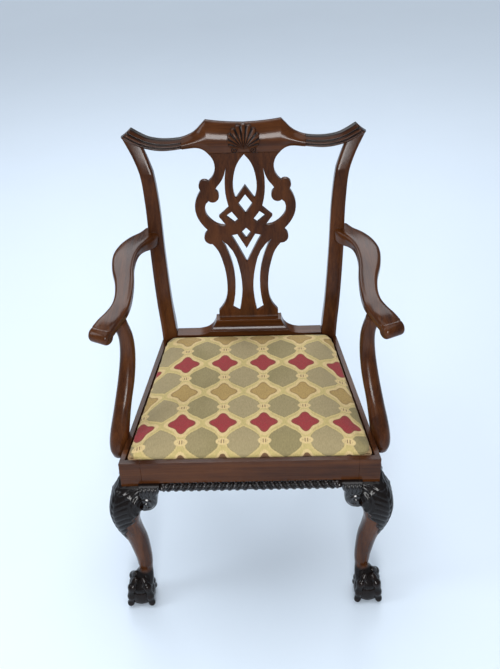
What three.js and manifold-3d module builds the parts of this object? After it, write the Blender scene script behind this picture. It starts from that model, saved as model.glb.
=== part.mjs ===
// Open armchair in carved mahogany with a pierced splat, cabriole front legs and a drop-in seat.
//
// Millimetres, +Z up, standing on Z = 0. The chair faces -Y and X = 0 is its centre line. While the
// pieces are made, Y = 0 is the front face of the front seat rail; the last lines move the origin
// to the middle of the chair's box, on the floor.

import * as THREE from 'three';
import { mergeVertices } from 'three/addons/utils/BufferGeometryUtils.js';
import Module from 'manifold-3d';

const wasm = await Module();
wasm.setup();

// ---------------------------------------------------------------- driving dimensions

const GAP = 0.3; // clearance left between two pieces that touch

// Seat frame, in plan
const FRONT_HALF = 283; // outer half width at the front face
const REAR_HALF = 219; // outer half width where the side rails meet the rear posts
const POST_FRONT = 438; // Y of the rear posts' front faces at the seat
const RAIL_TOP = 457;
const RAIL_BOTTOM = 397;
const RAIL_THICK = 34;
const LIP = 11; // standing edge of the rails around the drop-in seat
const LEDGE = RAIL_TOP - 19; // height of the rebate that the drop-in seat lies on
const TENON_LOW = RAIL_BOTTOM + 10;
const TENON_HIGH = LEDGE - 7;
const TENON_THICK = 12;

// Rear posts
const POST_WIDTH = 37;
const POST_INNER = REAR_HALF - POST_WIDTH;
const BACK_RAKE = 0.182; // Y gained for each unit of height above the seat
const REAR_RAIL_FRONT = 424;
const REAR_RAIL_BACK = 474;

// Front legs
const LEG_BLOCK = 46; // side of the square top of the leg
const KNEE_TOP = 375; // underside of the square part
const ANKLE_RADIUS = 15;
const FOOT_RADIUS = 35;

// Splat and crest
const SPLAT_THICK = 11;
const SPLAT_FRONT = 457; // Y of the splat's face where it enters the shoe
const SPLAT_RAKE = 0.173;
const SHOE_TOP = 509;
const SHOE_STRIP_TOP = 467;
const SHOE_FRONT = 441;
const SHOE_BACK = 472;
const COVE_LOW = 477;
const COVE_HIGH = 503;
const COVE_DEPTH = 8.5;
const COVE_RADIUS = 20;
const CREST_FOOT = 923; // underside of the crest rail over the splat
const CREST_THICK = 22;
const CREST_SWELL = 3; // how far its face swells between its edges
const CREST_ROLL = 9; // how far its face rolls back at the top
const POST_TENON_X = 238;
const SPLAT_TENON_HALF = 58;
const SPLAT_TONGUE_HALF = 66;
const SPLAT_TONGUE_LONG = 22; // how deep the splat stands in its shoe

// Arms
const SCROLL_RADIUS = 16.5;
const SUPPORT_BASE_Y = 88;

// Drop-in seat
const SEAT_FRAME_TOP = LEDGE + 14;
const SEAT_FRAME_WIDTH = 48;
const SEAT_FRONT = 14;
const SEAT_BACK = 437;
const COVER_THICK = 1;
const CLOTH_THICK = 0.8; // hessian and dust cover
const WEB_WIDTH = 50;
const WEB_THICK = 1.2;
const CUSHION_CROWN = RAIL_TOP + 20;
const CUSHION_DROP = 14; // how far its top falls towards the front and side edges
const BACK_FULLNESS = 0.5; // share of that fall that the back edge is spared
const CUSHION_SLOPE = 100; // distance from the edge at which the top becomes level

// Corner blocks and the moulding under the front rail
const BLOCK_BOTTOM = RAIL_BOTTOM + 3;
const BLOCK_TOP = LEDGE - 4;
const GADROON_HALF = 10.5; // half its height
const GADROON_END = 189;
const GADROON_BEAD = 9.5;
const KNEE_PROUD = 12; // how far a knee block stands out in front of the rail above it
const KNEE_BEHIND = 26;

// Screws
const SCREW_RADIUS = 2.2;
const SCREW_HEAD = 4.4;
const SCREW_SIDES = 8;

// ---------------------------------------------------------------- materials

const finishes = {
  mahogany: { color: 0x55301a, roughness: 0.32, metalness: 0 },
  carving: { color: 0x2b1a12, roughness: 0.3, metalness: 0 },
  beech: { color: 0xb08a5c, roughness: 0.7, metalness: 0 },
  steel: { color: 0x8d8a82, roughness: 0.4, metalness: 1 },
  jute: { color: 0xa98f62, roughness: 0.95, metalness: 0 },
  padding: { color: 0xd8cdb4, roughness: 0.95, metalness: 0 },
  lattice: { color: 0xb7a56f, roughness: 0.9, metalness: 0 },
  cambric: { color: 0x22201f, roughness: 0.95, metalness: 0 },
};

const chair = new THREE.Group();

function addPiece(name, finish, shape) {
  const geometry = shape.isBufferGeometry ? shape : geometryOf(shape);
  geometry.computeVertexNormals();
  const mesh = new THREE.Mesh(geometry, new THREE.MeshStandardMaterial(finishes[finish]));
  mesh.name = name;
  chair.add(mesh);
}

// The right-hand piece is modelled; its mirror image is the left-hand one.
function addPair(name, finish, shape) {
  const geometry = geometryOf(shape);
  addPiece(`${name}_right`, finish, geometry);
  addPiece(`${name}_left`, finish, mirrored(geometry));
}

// ---------------------------------------------------------------- solids

function solid(geometry) {
  const bare = geometry.clone();
  bare.deleteAttribute('normal');
  bare.deleteAttribute('uv');
  const merged = mergeVertices(bare, 1e-3);
  return new wasm.Manifold(
    new wasm.Mesh({
      numProp: 3,
      vertProperties: new Float32Array(merged.attributes.position.array),
      triVerts: new Uint32Array(merged.index.array),
    })
  );
}

function geometryOf(shape) {
  const mesh = shape.getMesh();
  const geometry = new THREE.BufferGeometry();
  geometry.setAttribute('position', new THREE.BufferAttribute(mesh.vertProperties, 3));
  geometry.setIndex(new THREE.BufferAttribute(mesh.triVerts, 1));
  return geometry;
}

// Mirror image in the plane X = 0, with its faces turned over so that they still point outwards.
function mirrored(geometry) {
  const copy = geometry.clone();
  copy.scale(-1, 1, 1);
  const index = copy.index.array;
  for (let i = 0; i < index.length; i += 3) {
    [index[i], index[i + 1]] = [index[i + 1], index[i]];
  }
  return copy;
}

function block(x0, x1, y0, y1, z0, z1) {
  const geometry = new THREE.BoxGeometry(x1 - x0, y1 - y0, z1 - z0);
  geometry.translate((x0 + x1) / 2, (y0 + y1) / 2, (z0 + z1) / 2);
  return solid(geometry);
}

// A plan outline, as [x, y] pairs, raised from z0 to z1.
function slab(outline, z0, z1) {
  const shape = new THREE.Shape(outline.map(([x, y]) => new THREE.Vector2(x, y)));
  const geometry = new THREE.ExtrudeGeometry(shape, { depth: z1 - z0, bevelEnabled: false });
  geometry.translate(0, 0, z0);
  return solid(geometry);
}

// A front-view outline of Vector2(x, z), with its holes, carried from y0 back to y1.
function board(outline, holes, y0, y1) {
  const turned = THREE.ShapeUtils.isClockWise(outline) ? [...outline].reverse() : outline;
  const shape = new THREE.Shape(turned);
  shape.holes = holes.map((hole) => new THREE.Path(hole));
  const geometry = new THREE.ExtrudeGeometry(shape, { depth: y1 - y0, bevelEnabled: false });
  geometry.rotateX(Math.PI / 2);
  geometry.translate(0, y1, 0);
  return geometry;
}

// A skin through a row of equal rings of Vector3, closed with a flat fan at each end.
function loft(rings) {
  const count = rings[0].length;
  const points = rings.flat();
  const faces = [];
  for (let i = 0; i + 1 < rings.length; i += 1) {
    for (let j = 0; j < count; j += 1) {
      const a = i * count + j;
      const b = i * count + ((j + 1) % count);
      faces.push([a, b, a + count], [b, b + count, a + count]);
    }
  }
  for (const row of [0, rings.length - 1]) {
    const hub = new THREE.Vector3();
    rings[row].forEach((point) => hub.addScaledVector(point, 1 / count));
    points.push(hub);
    for (let j = 0; j < count; j += 1) {
      const a = row * count + j;
      const b = row * count + ((j + 1) % count);
      faces.push(row === 0 ? [b, a, points.length - 1] : [a, b, points.length - 1]);
    }
  }
  let volume = 0;
  for (const [a, b, c] of faces) {
    volume += points[a].dot(new THREE.Vector3().crossVectors(points[b], points[c]));
  }
  const ordered = volume > 0 ? faces : faces.map(([a, b, c]) => [b, a, c]);
  const geometry = new THREE.BufferGeometry().setFromPoints(points);
  geometry.setIndex(ordered.flat());
  return solid(geometry);
}

// Ring of an oval whose corners are filled out by `power`: 2 is an ellipse, 4 nearly a rectangle.
function oval(halfWidth, halfDepth, power, count) {
  const ring = [];
  for (let i = 0; i < count; i += 1) {
    const angle = ((i + 0.5) / count) * 2 * Math.PI;
    const c = Math.cos(angle);
    const s = Math.sin(angle);
    const reach = (Math.abs(c) ** power + Math.abs(s) ** power) ** (-1 / power);
    ring.push([halfWidth * c * reach, halfDepth * s * reach]);
  }
  return ring;
}

// Value of a table of [position, value] rows at t.
function along(table, t) {
  let i = 0;
  while (i < table.length - 2 && t > table[i + 1][0]) {
    i += 1;
  }
  const [t0, v0] = table[i];
  const [t1, v1] = table[i + 1];
  const u = THREE.MathUtils.clamp((t - t0) / (t1 - t0), 0, 1);
  return v0 + (v1 - v0) * u;
}

// Value at t, from 0 to 1, of a list of values spread evenly from end to end.
function spread(values, t) {
  return along(values.map((value, i) => [i / (values.length - 1), value]), t);
}

// Points of a smooth curve through [x, z] pairs, the last one left for the next stretch to start.
function smooth(pairs, steps) {
  const curve = new THREE.SplineCurve(pairs.map(([x, z]) => new THREE.Vector2(x, z)));
  return curve.getSpacedPoints(steps).slice(0, steps);
}

// Points of an arc from angle a0 to a1 in degrees, the last one left for the next stretch.
function arc(x, z, radius, a0, a1, steps) {
  const points = [];
  for (let i = 0; i < steps; i += 1) {
    const angle = THREE.MathUtils.degToRad(a0 + ((a1 - a0) * i) / steps);
    points.push(new THREE.Vector2(x + radius * Math.cos(angle), z + radius * Math.sin(angle)));
  }
  return points;
}

const flip = (points) => points.map((p) => new THREE.Vector2(-p.x, p.y)).reverse();

function corners(pairs) {
  return pairs.map(([x, z]) => new THREE.Vector2(x, z));
}

// ---------------------------------------------------------------- screws

// A profile of [radius, distance] pairs turned about the line from `head` along `way`.
function turned(profile, head, way) {
  const geometry = new THREE.LatheGeometry(corners(profile), SCREW_SIDES);
  const turn = new THREE.Quaternion();
  turn.setFromUnitVectors(new THREE.Vector3(0, 1, 0), way.clone().normalize());
  geometry.applyQuaternion(turn);
  geometry.translate(head.x, head.y, head.z);
  return solid(geometry);
}

// A countersunk screw: its profile turned about its own axis, head at `head`, pointing along `way`.
function screw(head, way, length, grow = 0) {
  const profile = [
    [0, -grow],
    [SCREW_HEAD + grow, -grow],
    [SCREW_HEAD + grow, 0.6],
    [SCREW_RADIUS + grow, SCREW_HEAD - SCREW_RADIUS + 0.6],
    [SCREW_RADIUS + grow, length - 3],
    [0, length + grow * 2],
  ];
  return turned(profile, head, way);
}

// The hole that a screw needs, with a pocket for its head that opens backwards.
function screwHole(head, way, length) {
  const radius = SCREW_HEAD + 0.6;
  const pocket = [
    [0, -14],
    [radius, -14],
    [radius, 0],
    [0, 0],
  ];
  return screw(head, way, length, GAP).add(turned(pocket, head, way));
}

// ---------------------------------------------------------------- lines of the frame

// Outer face of the right side rail, and a line parallel to it further in.
const sideX = (y, inward = 0) => FRONT_HALF - ((FRONT_HALF - REAR_HALF) * y) / POST_FRONT - inward;

function sideStrip(outer, inner, y0, y1) {
  return [
    [sideX(y0, outer), y0],
    [sideX(y1, outer), y1],
    [sideX(y1, inner), y1],
    [sideX(y0, inner), y0],
  ];
}

// Y of the rear posts' front faces at height z: swept back to the floor, raked above the seat.
function postFront(z) {
  if (z < RAIL_BOTTOM) {
    return POST_FRONT + 62 * ((RAIL_BOTTOM - z) / RAIL_BOTTOM) ** 1.6;
  }
  return POST_FRONT + Math.max(0, z - RAIL_TOP) * BACK_RAKE;
}

// The crest rail bows backwards: how far its middle stands behind its ends.
const crestBow = (x) => 5 - 15 * (x / 280) ** 2;

// ---------------------------------------------------------------- rear posts and crest rail

const postOuter = [
  [0, 214], [220, 216], [397, 219], [457, 219], [554, 226.5], [679, 233], [814, 237],
  [869, 242], [914, 252], [934, 259], [955, 271], [975, 285],
];
const postInner = [
  [0, 186], [220, 184], [397, 182], [457, 182], [554, 190], [679, 197.6], [814, 204],
  [869, 210], [914, 218], [934, 222], [955, 227], [975, 232],
];
const postDepth = [[0, 30], [220, 33], [397, 40], [470, 40], [570, 31], [730, 28], [975, 24]];
// Heights of the post's sections: wide apart in the leg, close together in the ear.
const POST_STATIONS = [
  0, 100, 200, 285, 350, RAIL_BOTTOM, RAIL_TOP, 500, 554, 620, 680, 745, 814, 845, 869, 892, 914,
  934, 955, 975,
];
const POST_SIDES = 12;

function postBlank(grow = 0) {
  const rings = POST_STATIONS.map((z) => {
    const inner = along(postInner, z) - grow;
    const outer = along(postOuter, z) + grow;
    const front = postFront(z) - grow;
    const depth = along(postDepth, z) + 2 * grow;
    const squareness = z < RAIL_TOP + 30 ? 14 : 6;
    const ring = oval((outer - inner) / 2, depth / 2, squareness, POST_SIDES);
    const middleX = (inner + outer) / 2;
    return ring.map(([u, v]) => new THREE.Vector3(middleX + u, front + depth / 2 + v, z));
  });
  return loft(rings);
}

// Upper and lower edges of the crest rail's right half, from the centre to the tip of the ear.
const crestTop = [
  [0, 987.3], [30, 988.8], [60, 991.6], [86.5, 995.5], [97, 985], [108, 974], [121, 965.7],
  [141, 958.8], [166, 956.7], [191, 958], [216, 963.7], [236, 974], [255, 986.4],
];
const crestLow = [
  [0, CREST_FOOT], [28, CREST_FOOT], [56, CREST_FOOT], [83, CREST_FOOT], [90, 929.5], [100, 935],
  [113, 937.2], [137, 935.5], [163, 933], [188, 932.6], [213, 936.6], [243, 946.8], [278.5, 967.3],
];
const CREST_LEVELS = 4;

// Section of the crest rail between a low and a high point: its face swells and rolls back on top.
function crestSection(low, high, grow) {
  const front = [];
  const back = [];
  for (let i = 0; i <= CREST_LEVELS; i += 1) {
    const v = i / CREST_LEVELS;
    const x = low[0] + (high[0] - low[0]) * v;
    const z = low[1] + (high[1] - low[1]) * v;
    const roll = CREST_ROLL * Math.max(0, (v - 0.5) / 0.5) ** 2;
    const y = postFront(z) + crestBow(x) - CREST_SWELL * Math.sin(Math.PI * v) + roll;
    const thick = CREST_THICK - CREST_SWELL * v - roll;
    front.push(new THREE.Vector3(x, y - grow, z));
    back.unshift(new THREE.Vector3(x, y + thick + grow, z));
  }
  return [...front, ...back];
}

function crestBlank(grow = 0) {
  const half = crestTop.map((high, i) => {
    const [x, z] = crestLow[i];
    return crestSection([x, z - grow], high, grow);
  });
  const other = half.slice(1).map((ring) => ring.map((p) => new THREE.Vector3(-p.x, p.y, p.z)));
  return loft([...other.reverse(), ...half]);
}

// Everything above the crest rail's lower edge: the posts stop GAP short of it.
const aboveCrest = () => {
  const edge = crestLow.map(([x, z]) => new THREE.Vector2(x, z - GAP));
  edge.push(...corners([[330, 995], [330, 1040], [0, 1040]]));
  return solid(board(edge, [], 400, 700));
};

// Tenons of the back, each modelled with the piece that carries it; `grow` makes the mortise.
const postTenon = (grow) => {
  const y = postFront(945) + 12;
  const half = 8 + grow;
  return block(POST_TENON_X - half, POST_TENON_X + half, y - 5 - grow, y + 5 + grow, 910, 952 + grow);
};
const splatY = (z) => SPLAT_FRONT + (z - SHOE_TOP) * SPLAT_RAKE;

// The splat leans with the back: a flat board sheared so that its face follows splatY.
function lean(geometry) {
  const place = geometry.attributes.position;
  for (let i = 0; i < place.count; i += 1) {
    place.setY(i, place.getY(i) + splatY(place.getZ(i)));
  }
  return solid(geometry);
}

const splatTenon = (grow) =>
  lean(
    board(
      corners([
        [-SPLAT_TENON_HALF - grow, CREST_FOOT - 4],
        [SPLAT_TENON_HALF + grow, CREST_FOOT - 4],
        [SPLAT_TENON_HALF + grow, CREST_FOOT + 12 + grow],
        [-SPLAT_TENON_HALF - grow, CREST_FOOT + 12 + grow],
      ]),
      [],
      2 - grow,
      SPLAT_THICK - 2 + grow
    )
  );
const splatTongue = (grow) =>
  lean(
    board(
      corners([
        [-SPLAT_TONGUE_HALF - grow, SHOE_TOP - SPLAT_TONGUE_LONG - grow],
        [SPLAT_TONGUE_HALF + grow, SHOE_TOP - SPLAT_TONGUE_LONG - grow],
        [SPLAT_TONGUE_HALF + grow, SHOE_TOP + 4],
        [-SPLAT_TONGUE_HALF - grow, SHOE_TOP + 4],
      ]),
      [],
      -grow,
      SPLAT_THICK + grow
    )
  );

// Tenons on the ends of the seat rails.
const railTenon = (outline, grow) => slab(outline, TENON_LOW - grow, TENON_HIGH + grow);
const rectangle = (x0, x1, y0, y1) => [
  [x0, y0],
  [x1, y0],
  [x1, y1],
  [x0, y1],
];
const frontTenon = (grow) => {
  const x = FRONT_HALF - LEG_BLOCK;
  return railTenon(rectangle(x - 6, x + 20 + grow, 9 - grow, 9 + TENON_THICK + grow), grow);
};
const sideTenons = (grow) => {
  const outer = 12 - grow;
  const inner = 12 + TENON_THICK + grow;
  return railTenon(sideStrip(outer, inner, 27 - grow, POST_FRONT + 18 + grow), grow);
};
const rearTenon = (grow) => {
  const y = REAR_RAIL_BACK - 10;
  return railTenon(rectangle(POST_INNER - 6, POST_INNER + 9 + grow, y - 14 - grow, y + grow), grow);
};

// ---------------------------------------------------------------- arms

// Centre line of the right arm's top, in plan, from the rear post to the scroll, with its height.
const ARM_LINE = [
  [224.7, 509, 739], [237.6, 483.5, 740], [257.3, 457.2, 742], [272, 428, 743], [280, 392, 743],
  [279, 345, 741], [271, 295, 738], [267.5, 245, 736], [270, 205, 735], [279, 176, 733],
  [292, 149, 731], [304, 124, 727],
];
const ARM_WIDTHS = [45, 49, 52, 54, 55, 50, 43, 39, 40, 44, 48, 49];
const ARM_HEIGHTS = [38, 35, 29, 25, 24, 24, 24, 24, 24, 24, 24, 24];
const ARM_STATIONS = 20;
const ARM_SIDES = 12;

const armCurve = new THREE.CatmullRomCurve3(ARM_LINE.map((p) => new THREE.Vector3(...p)));

function armBlank(grow = 0) {
  const rings = [];
  for (let i = 0; i <= ARM_STATIONS; i += 1) {
    const t = i / ARM_STATIONS;
    const place = armCurve.getPoint(t);
    const ahead = armCurve.getTangent(t);
    const across = new THREE.Vector3(ahead.y, -ahead.x, 0).normalize();
    const height = spread(ARM_HEIGHTS, t);
    const ring = oval(spread(ARM_WIDTHS, t) / 2 + grow, height / 2 + grow, 3.2, ARM_SIDES);
    const centre = place.clone().setZ(place.z - height / 2);
    rings.push(ring.map(([u, v]) => centre.clone().addScaledVector(across, u).setZ(centre.z + v)));
  }
  return loft(rings).add(armScroll());
}

// The down-turned end of the arm: a roll that lies across it.
function armScroll() {
  const end = armCurve.getPoint(1);
  const ahead = armCurve.getTangent(1).setZ(0).normalize();
  const across = new THREE.Vector3(ahead.y, -ahead.x, 0);
  const roll = new THREE.CylinderGeometry(SCROLL_RADIUS, SCROLL_RADIUS, ARM_WIDTHS.at(-1) - 1, 16);
  roll.applyQuaternion(new THREE.Quaternion().setFromUnitVectors(new THREE.Vector3(0, 1, 0), across));
  roll.translate(end.x, end.y, end.z - SCROLL_RADIUS - 0.5);
  return solid(roll);
}

// Centre line of the right arm support, from its base on the side rail to the arm.
const SUPPORT_LINE = [
  [293, 84, 405], [292, 86, 432], [288, 94, 467], [278, 117, 522], [267, 145, 577],
  [261, 165, 627], [261, 171, 672], [270, 170, 712],
];
const SUPPORT_WIDTHS = [28, 42, 43, 38, 37, 34, 31, 31];
const SUPPORT_DEPTHS = [32, 50, 47, 42, 38, 34, 32, 34];
const SUPPORT_STATIONS = 14;

const supportCurve = new THREE.CatmullRomCurve3(SUPPORT_LINE.map((p) => new THREE.Vector3(...p)));

function supportBlank() {
  const rings = [];
  for (let i = 0; i <= SUPPORT_STATIONS; i += 1) {
    const t = i / SUPPORT_STATIONS;
    const place = supportCurve.getPoint(t);
    const ring = oval(spread(SUPPORT_WIDTHS, t) / 2, spread(SUPPORT_DEPTHS, t) / 2, 2.4, ARM_SIDES);
    rings.push(ring.map(([u, v]) => new THREE.Vector3(place.x + u, place.y + v, place.z)));
  }
  return loft(rings);
}

const supportTenon = (grow) => {
  const top = supportCurve.getPoint(1);
  const [x, y] = [7 + grow, 9 + grow];
  return block(top.x - x, top.x + x, top.y - y, top.y + y, 700, 726 + grow);
};

// ---------------------------------------------------------------- front legs and knee blocks

// Rows of the cabriole below its square top: height, how far its centre stands out sideways and
// forwards from the square's, half its width, and how square it is.
const LEG_ROWS = [
  [389, 3, 3, 25.5, 5], [377, 8, 8, 29, 4], [362, 13, 13, 33, 3.4], [345, 16.5, 16.5, 35.5, 3],
  [328, 19, 19, 35.5, 2.9], [305, 21.5, 21.5, 32, 2.7], [281, 21, 22, 28, 2.6],
  [258, 17.5, 19, 26, 2.5], [237, 12.8, 15.5, 24.3, 2.4], [210, 7, 11.3, 23, 2.3],
  [164, 1, 8, 20.5, 2.2], [119, -2, 6.8, 17.9, 2.1], [76, -2.5, 7.5, ANKLE_RADIUS, 2],
  [66, 0, 10, 17, 2], [60, 6, 16, 24, 2.2], [50, 11, 21, 31, 2.4],
  [34, 13.5, 23.5, FOOT_RADIUS, 2.5], [16, 13.5, 23.5, FOOT_RADIUS, 2.6],
  [5, 13.5, 23.5, 32, 2.8], [0, 13.5, 23.5, 27, 2.8],
];
const LEG_SIDES = 14;

function cabriole(grow = 0) {
  const rings = LEG_ROWS.map(([z, out, forward, half, power]) => {
    const x = FRONT_HALF - LEG_BLOCK / 2 + out;
    const y = LEG_BLOCK / 2 - forward;
    const ring = oval(half + grow, half + grow, power, LEG_SIDES);
    return ring.map(([u, v]) => new THREE.Vector3(x + u, y + v, z));
  });
  return loft(rings);
}

// Square top of the leg, its outer face flush with the side rail's.
const legTop = (grow = 0) =>
  slab(
    [
      [FRONT_HALF - LEG_BLOCK - grow, -grow],
      [sideX(0) + grow, -grow],
      [sideX(LEG_BLOCK) + grow, LEG_BLOCK + grow],
      [FRONT_HALF - LEG_BLOCK - grow, LEG_BLOCK + grow],
    ],
    KNEE_TOP - grow,
    RAIL_TOP
  );

// Space over the ledge, inside the lip, where the drop-in seat lies.
const seatWell = slab(
  [
    [-sideX(LIP + 2, LIP), LIP + 2],
    [sideX(LIP + 2, LIP), LIP + 2],
    [sideX(POST_FRONT, LIP), POST_FRONT],
    [-sideX(POST_FRONT, LIP), POST_FRONT],
  ],
  LEDGE,
  RAIL_TOP + 5
);

// Outline of a knee block under the rail beside the leg: [distance from the square, z].
const KNEE_EDGE = [
  [-8, RAIL_BOTTOM - GAP], [38, RAIL_BOTTOM - GAP], [38, 381], [33, 377], [30, 368], [31, 353],
  [28, 337], [19, 325], [7, 320], [-8, 323],
];

// A bracket of that outline along +X or -X. It is coped round the leg afterwards.
function kneeBlank(way) {
  const outline = corners(KNEE_EDGE.map(([d, z]) => [way * d, z]));
  return board(outline, [], -KNEE_PROUD, KNEE_BEHIND);
}

// ---------------------------------------------------------------- build: frame

const legGrown = legTop(GAP).add(cabriole(GAP));

const SCREW_LOW = RAIL_BOTTOM + 15;
const SCREW_HIGH = RAIL_BOTTOM + 28;
const blockScrew = (place, head, way) => ({
  name: `corner_block_screw_${place}`,
  head,
  way,
  length: 30,
});
const blockScrews = {
  front: [
    blockScrew('front_inner', [205, 43, SCREW_LOW], [0, -1, 0]),
    blockScrew('front_outer', [227, 66, SCREW_HIGH], [1, 0, 0]),
  ],
  rear: [
    blockScrew('rear_inner', [150, 410, SCREW_LOW], [0, 1, 0]),
    blockScrew('rear_outer', [179, 384, SCREW_HIGH], [1, 0, 0]),
  ],
};
const supportScrews = [RAIL_BOTTOM + 16, RAIL_BOTTOM + 34].map((z, i) => ({
  name: `arm_support_screw_${i === 0 ? 'lower' : 'upper'}`,
  head: [sideX(SUPPORT_BASE_Y + 4, RAIL_THICK) + 1, SUPPORT_BASE_Y + 4, z],
  way: [1, 0, 0],
  length: 48,
}));
const armScrew = { name: 'arm_screw', head: [219, 515, 724], way: [0.42, -1, 0], length: 52 };

const vector = (values) => new THREE.Vector3(...values);
const holeFor = (item) => screwHole(vector(item.head), vector(item.way), item.length);
const holesFor = (items) => items.map(holeFor).reduce((all, one) => all.add(one));

const cornerBlocks = {
  front: [
    [226, RAIL_THICK + GAP],
    [sideX(57, RAIL_THICK + GAP), 57],
    [sideX(80, RAIL_THICK + GAP), 80],
    [190, RAIL_THICK + GAP],
  ],
  rear: [
    [186.5, REAR_RAIL_FRONT - GAP],
    [128, REAR_RAIL_FRONT - GAP],
    [sideX(358, RAIL_THICK + GAP), 358],
    [sideX(REAR_RAIL_FRONT - 6, RAIL_THICK + GAP), REAR_RAIL_FRONT - 6],
  ],
};

// Rear posts, each in one length from the floor to the crest rail.
const post = postBlank()
  .subtract(aboveCrest())
  .add(postTenon(0))
  .subtract(sideTenons(GAP))
  .subtract(rearTenon(GAP))
  .subtract(holeFor(armScrew));
addPair('rear_post', 'mahogany', post);

// Both sides of a solid that is mirrored in X = 0.
const bothSides = (shape) => shape.add(solid(mirrored(geometryOf(shape))));

addPiece(
  'crest_rail',
  'mahogany',
  crestBlank().subtract(bothSides(postTenon(GAP))).subtract(splatTenon(GAP))
);

const frontTenonPair = bothSides(frontTenon(0));
addPiece(
  'front_seat_rail',
  'mahogany',
  block(-FRONT_HALF + LEG_BLOCK + GAP, FRONT_HALF - LEG_BLOCK - GAP, 0, RAIL_THICK, RAIL_BOTTOM, RAIL_TOP)
    .add(frontTenonPair)
    .subtract(seatWell)
    .subtract(bothSides(holeFor(blockScrews.front[0])))
);

addPair(
  'side_seat_rail',
  'mahogany',
  slab(sideStrip(0, RAIL_THICK, LEG_BLOCK + GAP, POST_FRONT - GAP), RAIL_BOTTOM, RAIL_TOP)
    .add(sideTenons(0))
    .subtract(seatWell)
    .subtract(holesFor([blockScrews.front[1], blockScrews.rear[1], ...supportScrews]))
);

addPiece(
  'rear_seat_rail',
  'mahogany',
  block(-POST_INNER + GAP, POST_INNER - GAP, REAR_RAIL_FRONT, REAR_RAIL_BACK, RAIL_BOTTOM, RAIL_TOP)
    .add(bothSides(rearTenon(0)))
    .subtract(seatWell)
    .subtract(bothSides(holeFor(blockScrews.rear[0])))
);

addPair(
  'front_leg',
  'mahogany',
  legTop()
    .add(cabriole())
    .subtract(frontTenon(GAP))
    .subtract(sideTenons(GAP))
    .subtract(seatWell)
);

const railAngle = Math.atan2(FRONT_HALF - REAR_HALF, POST_FRONT);
const frontKnee = kneeBlank(-1).translate(FRONT_HALF - LEG_BLOCK, 0, 0);
const sideKnee = kneeBlank(1).rotateZ(Math.PI / 2 + railAngle).translate(sideX(LEG_BLOCK), LEG_BLOCK, 0);
addPair('knee_block_front', 'carving', solid(frontKnee).subtract(legGrown));
addPair('knee_block_side', 'carving', solid(sideKnee).subtract(legGrown));

// Corner blocks, glued and screwed into the corners of the seat frame.
for (const [end, outline] of Object.entries(cornerBlocks)) {
  const body = slab(outline, BLOCK_BOTTOM, BLOCK_TOP).subtract(holesFor(blockScrews[end]));
  addPair(`corner_block_${end}`, 'beech', body);
}

// Half-round moulding under the front rail, ended by a bead at each side.
const gadroonZ = RAIL_BOTTOM - GAP - GADROON_HALF;
const gadroonEnds = [-GADROON_END, GADROON_END].map((x) =>
  oval(10, GADROON_HALF, 2.2, 12).map(([u, v]) => new THREE.Vector3(x, 1 + u, gadroonZ + v))
);
const bead = solid(new THREE.SphereGeometry(GADROON_BEAD, 12, 8).translate(GADROON_END, 1, gadroonZ));
addPiece('gadroon_moulding', 'carving', loft(gadroonEnds).add(bothSides(bead)));

// ---------------------------------------------------------------- build: splat and shoe

// Right half of the splat's outline: flared head, upper lobe, C-scroll, lower lobe, waist and foot.
const SPLAT_HEAD = [
  [83, CREST_FOOT - GAP], [75, 913.5], [70, 902.5], [68.5, 890.5], [70.5, 877], [76.5, 865],
  [83.5, 857.5],
];
const SPLAT_LOBE = [
  [104, 835], [112, 822.5], [118, 807.5], [119.3, 793], [116.5, 776], [109, 760], [99, 746.5],
  [89, 736.5],
];
const SPLAT_WAIST = [
  [82, 703], [71, 689], [64, 674], [58, 653.5], [53.5, 633.5], [51, 613], [50.3, 593],
  [51.3, 572.5], [54.5, 557.5], [60.5, 543.5], [68, 532.5], [73.5, 526],
];
const splatEdge = [
  ...smooth(SPLAT_HEAD, 10),
  ...arc(94.5, 846, 13.8, 133, -49, 10),
  ...smooth(SPLAT_LOBE, 14),
  ...arc(84.5, 719.5, 16.5, 74, -95, 10),
  ...smooth(SPLAT_WAIST, 18),
  ...corners([[73.5, 526], [73.5, SHOE_TOP + GAP]]),
];

// Right halves of the piercings, and whole ones that stand beside the centre line.
const TOP_OVAL_SIDE = [
  [11, 906.5], [19, 892.5], [24.5, 874], [27.3, 856], [27.5, 837.5], [25.5, 824.5], [22, 814],
];
const topOval = [...corners([[0, 919.5]]), ...smooth(TOP_OVAL_SIDE, 9), ...corners([[22, 814]])];
const OPENING_TOP = [[43.5, 887.5], [48, 871], [55, 857], [64, 846], [71, 838]];
const OPENING_OUTSIDE = [
  [86.3, 810], [93, 803.5], [95.7, 792], [94, 778.5], [87, 767], [76, 756.5], [62, 749], [45, 747],
];
const OPENING_INSIDE = [[39, 792.5], [43, 808.5], [46, 825.5], [47, 843], [46.5, 864], [43.5, 887.5]];
const upperOpening = [
  ...smooth(OPENING_TOP, 7),
  ...arc(76.5, 821.5, 15.2, 112, 310, 10),
  ...smooth(OPENING_OUTSIDE, 11),
  ...corners([[45, 747], [63.5, 771]]),
  ...smooth(OPENING_INSIDE, 8),
];
const SLOT_OUTSIDE = [
  [60.5, 714], [51, 697], [42.5, 675], [35.5, 651.5], [31.5, 628.5], [30, 603], [31, 578],
  [34, 555.5], [38.5, 534],
];
const SLOT_INSIDE = [
  [22, 524], [16.5, 552.5], [13.7, 583], [15, 613], [20, 643.5], [28, 672], [41, 695], [60.5, 714],
];
const lowerSlot = [
  ...smooth(SLOT_OUTSIDE, 10),
  ...corners([[38.5, 534]]),
  ...smooth(SLOT_INSIDE, 10),
];
const chevronSide = smooth([[0, 654.5], [12, 679], [25, 704], [36.5, 724]], 4);
const chevron = [
  ...chevronSide,
  ...corners([[36.5, 724], [21.5, 727], [0, 691], [-21.5, 727], [-36.5, 724]]),
  ...flip(chevronSide.slice(1)),
];
const sideDiamond = corners([[33, 783], [48.5, 772], [26.5, 754], [16.5, 762]]);

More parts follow.
